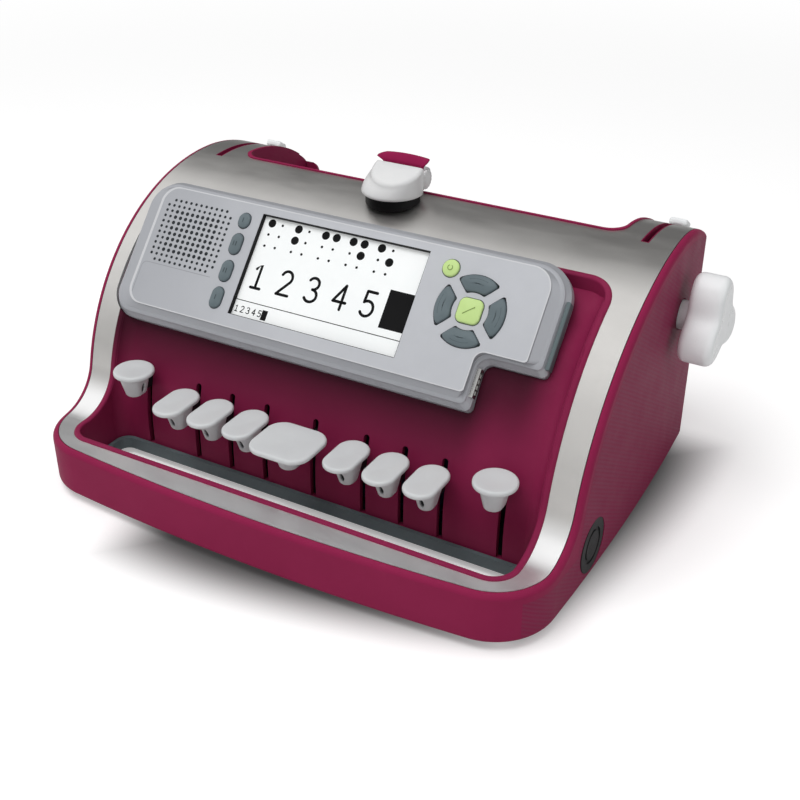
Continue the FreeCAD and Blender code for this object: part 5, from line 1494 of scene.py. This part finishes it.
# ---- display module --------------------------------------------------------
@dataclass(frozen=True)
class DisplayModule:
    """The panel's painted highlight, the painted shade in the speaker holes and on the window
    walls, the seam and the screen's marks.
    """

    left: float = -62.0
    right: float = 41.7
    low: float = -9.5
    top: float = 48.8
    wall: float = 0.35
    # foot and face of the marks, just under and over the sunk screen
    marks: tuple[float, float] = (-3.02, -2.95)
    sink: float = 3.0
    first_cell: tuple[float, float] = (-56.4, 45.3)
    cell_pitch: float = 17.3
    dot_pitch: tuple[float, float] = (6.8, 6.55)
    big_dot: float = 2.35
    small_dot: float = 0.75
    # dots raised for the numbers one to five, counted down the left column first
    raised: tuple[tuple[int, ...], ...] = ((1,), (1, 2), (1, 4), (1, 4, 5), (1, 5))
    # left, right, low and top of the cursor, the divider and the small cursor
    blocks: tuple[tuple[float, float, float, float], ...] = (
        (25.7, 41.6, 4.2, 25.1), (-61.6, 41.3, -0.25, 0.2), (-43.2, -39.8, -8.0, -2.4))
    # foot, height, place of the first digit, pitch and stroke width of both rows
    large_row: tuple[float, ...] = (8.1, 13.3, -53.0, 17.3, 1.6)
    small_row: tuple[float, ...] = (-6.6, 3.4, -59.6, 3.75, 0.5)
    speaker: tuple[float, float] = (-102.8, 27.5)
    hole_counts: tuple[int, int] = (13, 12)
    hole_pitch: tuple[float, float] = (3.55, 3.25)
    hole_r: tuple[float, float] = (1.12, 0.86)
    panel_u: tuple[float, float] = (-130.4, 110.2)
    panel_v: tuple[float, float] = (-17.2, 53.4)
    step: tuple[float, float] = (83.3, 4.7)
    left_r: float = 10.0
    right_r: float = 12.0
    step_r: float = 5.0
    small_r: float = 2.0
    seam_width: float = 0.4
    # foot and face of the painted highlight, the painted hole shades and the seam, just under and
    # over the panel
    highlight_w: tuple[float, float] = (-0.2, 0.05)
    hole_shade_w: tuple[float, float] = (-0.3, 0.04)
    seam_w: tuple[float, float] = (-0.2, 0.03)

    def plate(self, outline: np.ndarray) -> Part:
        """Flat mark on the screen with the given outline."""
        return ring_slab(outline, *self.marks)

    def disc(self, u: float, v: float, radius: float) -> Part:
        """Round mark: a circle of points about (u, v)."""
        return self.plate(radius * on_circle(full_turn(40 if radius > 1 else 16)) + [u, v])

    @staticmethod
    def digit(number: int) -> list[np.ndarray]:
        """Strokes of a plain digit, in a cell 1 high about its middle.

        Args:
            number: 1 to 5.

        Returns:
            Points of n by 2 along each stroke.
        """
        strokes = {
            1: ([[-0.20, 0.80], [0.0, 1.0], [0.0, 0.0]], [[-0.22, 0.0], [0.22, 0.0]]),
            2: ([*arc((0.0, 0.73), (0.25, 0.27), 160, -35), [-0.27, 0.0]],
                [[-0.27, 0.0], [0.28, 0.0]]),
            3: (arc((-0.02, 0.76), (0.24, 0.24), 150, -88),
                arc((-0.02, 0.26), (0.28, 0.26), 88, -150)),
            4: ([[0.13, 0.0], [0.13, 1.0]], [[0.13, 1.0], [-0.27, 0.30]],
                [[-0.27, 0.30], [0.30, 0.30]]),
            5: ([[0.23, 1.0], [-0.19, 1.0]], [[-0.19, 1.0], [-0.21, 0.55]],
                arc((-0.03, 0.31), (0.28, 0.31), 118, -145)),
        }
        return [np.array(line) for line in strokes[number]]

    def digits(self, foot: float, height: float, first: float, pitch: float,
               width: float) -> list[Part]:
        """Ribbons of the digits 1 to 5 in a row, with round stroke ends.

        Args:
            foot: where the digits stand.
            height: their height.
            first: middle of the first one.
            pitch: from each to the next.
            width: width of the strokes.

        Returns:
            Points and faces of each ribbon and end.
        """
        parts = []
        for number in range(1, 6):
            for line in self.digit(number):
                spots = line * height + [first + (number - 1) * pitch, foot]
                parts.append(stroke(spots, width, *self.marks))
                parts += [self.disc(u, v, width / 2) for u, v in (spots[0], spots[-1])]
        return parts

    def cells(self) -> list[Part]:
        """Braille cells: a large dot where raised, a small one elsewhere.

        Returns:
            Points and faces of each dot.
        """
        parts = []
        for cell, raised in enumerate(self.raised):
            for dot in range(1, 7):
                u = self.first_cell[0] + cell * self.cell_pitch + (dot > 3) * self.dot_pitch[0]
                v = self.first_cell[1] - ((dot - 1) % 3) * self.dot_pitch[1]
                parts.append(self.disc(u, v, self.big_dot if dot in raised else self.small_dot))
        return parts

    def panel(self, inset: float, left: float) -> np.ndarray:
        """The raised panel's outline.

        Each corner is a quarter circle between the two sides that meet there.

        Args:
            inset: how far the outline is drawn in.
            left: the same at its left end.

        Returns:
            Outline of n by 2.
        """
        start, right = self.panel_u[0] + left, self.panel_u[1] - inset
        low, top = self.panel_v[0] + inset, self.panel_v[1] - inset
        step_u, step_v = self.step[0] - inset, self.step[1] + inset
        corners = ((start, low, self.left_r - inset), (step_u, low, self.small_r),
                   (step_u, step_v, self.step_r + inset), (right, step_v, self.small_r),
                   (right, top, self.right_r - inset), (start, top, self.left_r - inset))
        spots = np.array([corner[:2] for corner in corners])
        turn = np.linspace(0, math.pi / 2, 13)[:, None]
        arcs = []
        for number, (u, v, radius) in enumerate(corners):
            back = unit(spots[number - 1] - (u, v))
            ahead = unit(spots[(number + 1) % len(corners)] - (u, v))
            middle = np.array([u, v]) + (back + ahead) * radius
            arcs.append(middle - radius * (ahead * np.cos(turn) + back * np.sin(turn)))
        return np.concatenate(arcs)

    def hole_shades(self) -> list[Part]:
        """Painted shade in the mouths of the speaker's holes: dark discs in a grid without its
        corners, smaller at its rim.

        Returns:
            Points and faces of each mouth.
        """
        parts = []
        counts, pitch = np.array(self.hole_counts), np.array(self.hole_pitch)
        for spot in np.ndindex(*self.hole_counts):
            inward = np.minimum(spot, counts - 1 - spot)
            if inward.sum() == 0:
                continue
            radius = self.hole_r[0 if inward.min() >= 2 else 1]
            middle = self.speaker + (spot - (counts - 1) / 2) * pitch
            parts.append(ring_slab(middle + radius * on_circle(full_turn(12)), *self.hole_shade_w))
        return parts

    def wall_shade(self) -> Part:
        """Painted shade on the window's walls: a dark square ring, carried down the wall.

        Returns:
            Points and faces.
        """
        rows = ((0.02, -self.sink), (0.02, -0.15), (self.wall, -0.35), (self.wall, -self.sink))
        return hoop([(rectangle(self.left + inset, self.right - inset,
                                self.low + inset, self.top - inset), w) for inset, w in rows])

    def build(self) -> None:
        """Makes the panel's painted highlight, the painted shade in the holes, the seam, the
        painted shade on the window walls and the screen's marks.
        """
        # painted highlight along the panel's edge
        edge = band(self.panel(0.15, 0.1), self.panel(0.80, 1.7), *self.highlight_w)
        on_module("panel_highlight", [edge], PANEL_HIGHLIGHT)
        on_module("speaker_hole_shades", self.hole_shades(), HOLE_SHADE)
        bend = arc((-124.5, 4.2), (3.0, 3.0), 180, 90)
        seam = np.array([[-127.5, -12.0], [-127.5, -4.0], *bend, [-100.0, 7.2], [-81.0, 7.2]])
        on_module("cover_seam", [stroke(seam, self.seam_width, *self.seam_w)], SEAM)
        on_module("window_wall_shade", [self.wall_shade()], INK_AND_WALL_SHADE)
        on_module("screen_cells", self.cells(), INK_AND_WALL_SHADE)
        on_module("screen_digits", self.digits(*self.large_row), INK_AND_WALL_SHADE)
        blocks = [self.plate(rectangle(*block)) for block in self.blocks]
        on_module("screen_row", self.digits(*self.small_row) + blocks, INK_AND_WALL_SHADE)


# ---- stage -----------------------------------------------------------------
@dataclass(frozen=True)
class Lamp:
    """A soft square lamp aimed at the machine."""

    name: str
    place: tuple[float, float, float]
    size: float
    watts: float
    mirrored: bool = True

    def build(self) -> None:
        """Adds the lamp, aimed at the middle of the machine."""
        data = bpy.data.lights.new(self.name, "AREA")
        data.energy = self.watts
        data.size = self.size
        lamp = bpy.data.objects.new(self.name, data)
        lamp.visible_glossy = self.mirrored
        lamp.location = self.place
        aim = Vector((0.0, 0.0, 0.06)) - Vector(self.place)
        lamp.rotation_mode = "QUATERNION"
        lamp.rotation_quaternion = aim.to_track_quat("-Z", "Y")
        bpy.context.scene.collection.objects.link(lamp)


@dataclass(frozen=True)
class Shade:
    """Soft shade on the floor: an oval in metres about the machine.

    It is full inside, gone outside, and left off under the hand-grip opening.
    """

    middle: tuple[float, float] = (0.0472, -0.0199)
    halves: tuple[float, float] = (0.1692, 0.1204)
    turn: float = 0.795
    power: float = 1.25
    blur: float = 0.0217
    depth: float = 0.90
    opening_x: tuple[float, float] = (0.134, 0.144)
    opening_front: tuple[float, float] = (-0.117, -0.107)
    opening_back: tuple[float, float] = (-0.062, -0.050)

    def mask(self, tree: Tree, place: Socket) -> Socket:
        """Shade at a place on the floor.

        With u and w along the oval's axes, its distance is the power mean
        (|u/a|^n + |w/b|^n)^(1/n) less 1, times the smaller half axis.

        Args:
            tree: the floor's tree.
            place: coordinates on the floor.

        Returns:
            The shade, from 0 to depth.
        """
        moved = tree.vector("SUBTRACT", place, (*self.middle, 0.0)).outputs[0]
        cos, sin = math.cos(self.turn), math.sin(self.turn)
        powers = []
        for axis, half in zip(((cos, sin, 0.0), (-sin, cos, 0.0)), self.halves):
            along = tree.vector("DOT_PRODUCT", moved, axis).outputs["Value"]
            share = tree.math("ABSOLUTE", tree.math("DIVIDE", along, half))
            powers.append(tree.math("POWER", share, self.power))
        mean = tree.math("POWER", tree.math("ADD", *powers), 1 / self.power)
        distance = tree.product(tree.math("SUBTRACT", mean, 1.0), min(self.halves))
        oval = tree.span(distance, -self.blur, self.blur, self.depth, 0.0)
        x, y, _ = tree.split(place)
        across = tree.span(tree.math("ABSOLUTE", x), *self.opening_x, 1.0, 0.0)
        front = tree.span(y, *self.opening_front)
        back = tree.span(y, *self.opening_back, 1.0, 0.0)
        opening = tree.product(across, tree.product(front, back))
        return tree.product(oval, tree.math("SUBTRACT", 1.0, opening))


@dataclass(frozen=True)
class Studio:
    """Pale floor, white surround, lamps and the camera."""

    camera_place: tuple[float, float, float] = (308.8, -515.2, 393.8)
    camera_right: tuple[float, float, float] = (0.8712, 0.4909, 0.0)
    camera_up: tuple[float, float, float] = (-0.2495, 0.4428, 0.8612)
    lens_mm: float = 54.61
    sensor_mm: float = 36.0
    floor_size: float = 8.0
    floor_glow: float = 0.34
    floor_far: tuple[float, float] = (0.55, 1.4)
    surround_low: float = 0.20
    surround_top: float = 0.62
    mirror_low: float = 0.26
    mirror_front: float = 1.0
    mirror_back: float = 0.09
    ahead_y: tuple[float, float] = (-0.95, -0.45)
    behind_y: tuple[float, float] = (0.26, 0.60)
    above_z: tuple[float, float] = (0.0, 0.95)
    floor_grey: float = 0.84
    shade: Shade = Shade()
    lamps: tuple[Lamp, ...] = (
        Lamp("key_lamp", (-0.20, -0.45, 1.50), 0.8, 11.3, mirrored=False),
        Lamp("front_lamp", (0.10, -1.50, 0.60), 1.0, 1.8),
        Lamp("side_lamp", (1.40, 0.10, 0.60), 0.8, 1.0),
    )

    def build(self) -> None:
        """Adds everything that isn't the machine."""
        self.build_camera()
        self.build_world()
        self.build_floor()
        for lamp in self.lamps:
            lamp.build()
        view = bpy.context.scene.view_settings
        view.view_transform = "Standard"

    def build_camera(self) -> None:
        """Places the camera by its right and up directions."""
        data = bpy.data.cameras.new("camera")
        data.lens = self.lens_mm
        data.sensor_width = self.sensor_mm
        data.clip_start, data.clip_end = 0.01, 50.0
        camera = bpy.data.objects.new("camera", data)
        right = Vector(self.camera_right).normalized()
        up = Vector(self.camera_up).normalized()
        back = right.cross(up)
        turn = Matrix((right, up, back)).transposed().to_4x4()
        camera.matrix_world = Matrix.Translation(Vector(self.camera_place) * MM) @ turn
        bpy.context.scene.collection.objects.link(camera)
        bpy.context.scene.camera = camera

    def build_world(self) -> None:
        """White for the eye, brighter above as a light, and bright in front in reflections."""
        world = bpy.data.worlds.new("surround")
        bpy.context.scene.world = world
        tree = blank_tree(world)
        path = tree.add("LightPath").outputs
        _, depth, height = tree.split(tree.add("TexCoord").outputs["Generated"])
        ahead = tree.span(depth, *self.ahead_y, self.mirror_low, self.mirror_front)
        behind = tree.span(depth, *self.behind_y)
        gap = tree.math("SUBTRACT", self.mirror_back, ahead)
        mirrored = tree.math("MULTIPLY_ADD", gap, behind, ahead)
        light = tree.span(height, *self.above_z, self.surround_low, self.surround_top)
        glossy = tree.product(path["Is Glossy Ray"], tree.math("SUBTRACT", mirrored, light))
        seen = tree.product(path["Is Camera Ray"], tree.math("SUBTRACT", 1.0, light))
        strength = tree.math("ADD", light, tree.math("ADD", seen, glossy))
        back = tree.add("Background", Color=WHITE, Strength=strength)
        tree.feed(tree.add("OutputWorld").inputs["Surface"], back.outputs[0])

    def build_floor(self) -> None:
        """White floor with some light of its own for the eye, shaded under the machine.

        Far off it turns to plain white, so that no horizon shows.
        """
        half = self.floor_size / 2
        corners = at_height(rectangle(-half, half, -half, half), 0.0)
        floor = make_object("floor", corners, [[0, 1, 2, 3]], smooth=False)
        material, tree = blank_material("floor_white")
        place = tree.add("TexCoord").outputs["Object"]
        far = tree.span(tree.vector("LENGTH", place).outputs["Value"], *self.floor_far)
        path = tree.add("LightPath").outputs
        camera = path["Is Camera Ray"]
        seen = tree.math("ADD", camera, path["Is Glossy Ray"], clamp=True)
        lit = tree.math("SUBTRACT", 1.0, tree.product(self.shade.mask(tree, place), seen))
        near = tree.mix(lit, BLACK, (self.floor_grey,) * 3 + (1.0,))
        diffuse = tree.add("BsdfDiffuse", Color=tree.mix(tree.product(far, camera), near, BLACK))
        glow = tree.product(lit, self.floor_glow)
        rest = tree.product(far, tree.math("SUBTRACT", 1.0, glow))
        strength = tree.product(tree.math("ADD", glow, rest), camera)
        light = tree.add("Emission", Color=WHITE, Strength=strength)
        both = tree.add("AddShader")
        for socket, shader in zip(both.inputs, (diffuse, light)):
            tree.feed(socket, shader.outputs[0])
        tree.feed(tree.add("OutputMaterial").inputs["Surface"], both.outputs[0])
        floor.data.materials.append(material)


def main() -> None:
    """Builds the machine's looks in order."""
    logging.basicConfig(level=logging.INFO, format="%(name)s: %(message)s")
    for node, finish in NODE_FINISHES.items():
        dress(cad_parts[node], finish)
        log.info("%s stays, in %s", node, finish.name)
    Keyboard().build()
    for side in (1, -1):
        FeedKnob(side).build()
    CarriageCap().build()
    grip = FingerGrip()
    grip.build()
    grip.build_wheel()
    buttons = Buttons()
    buttons.build()
    DisplayModule().build()
    buttons.build_marks()
    Studio().build()


if __name__ == "__main__":
    main()
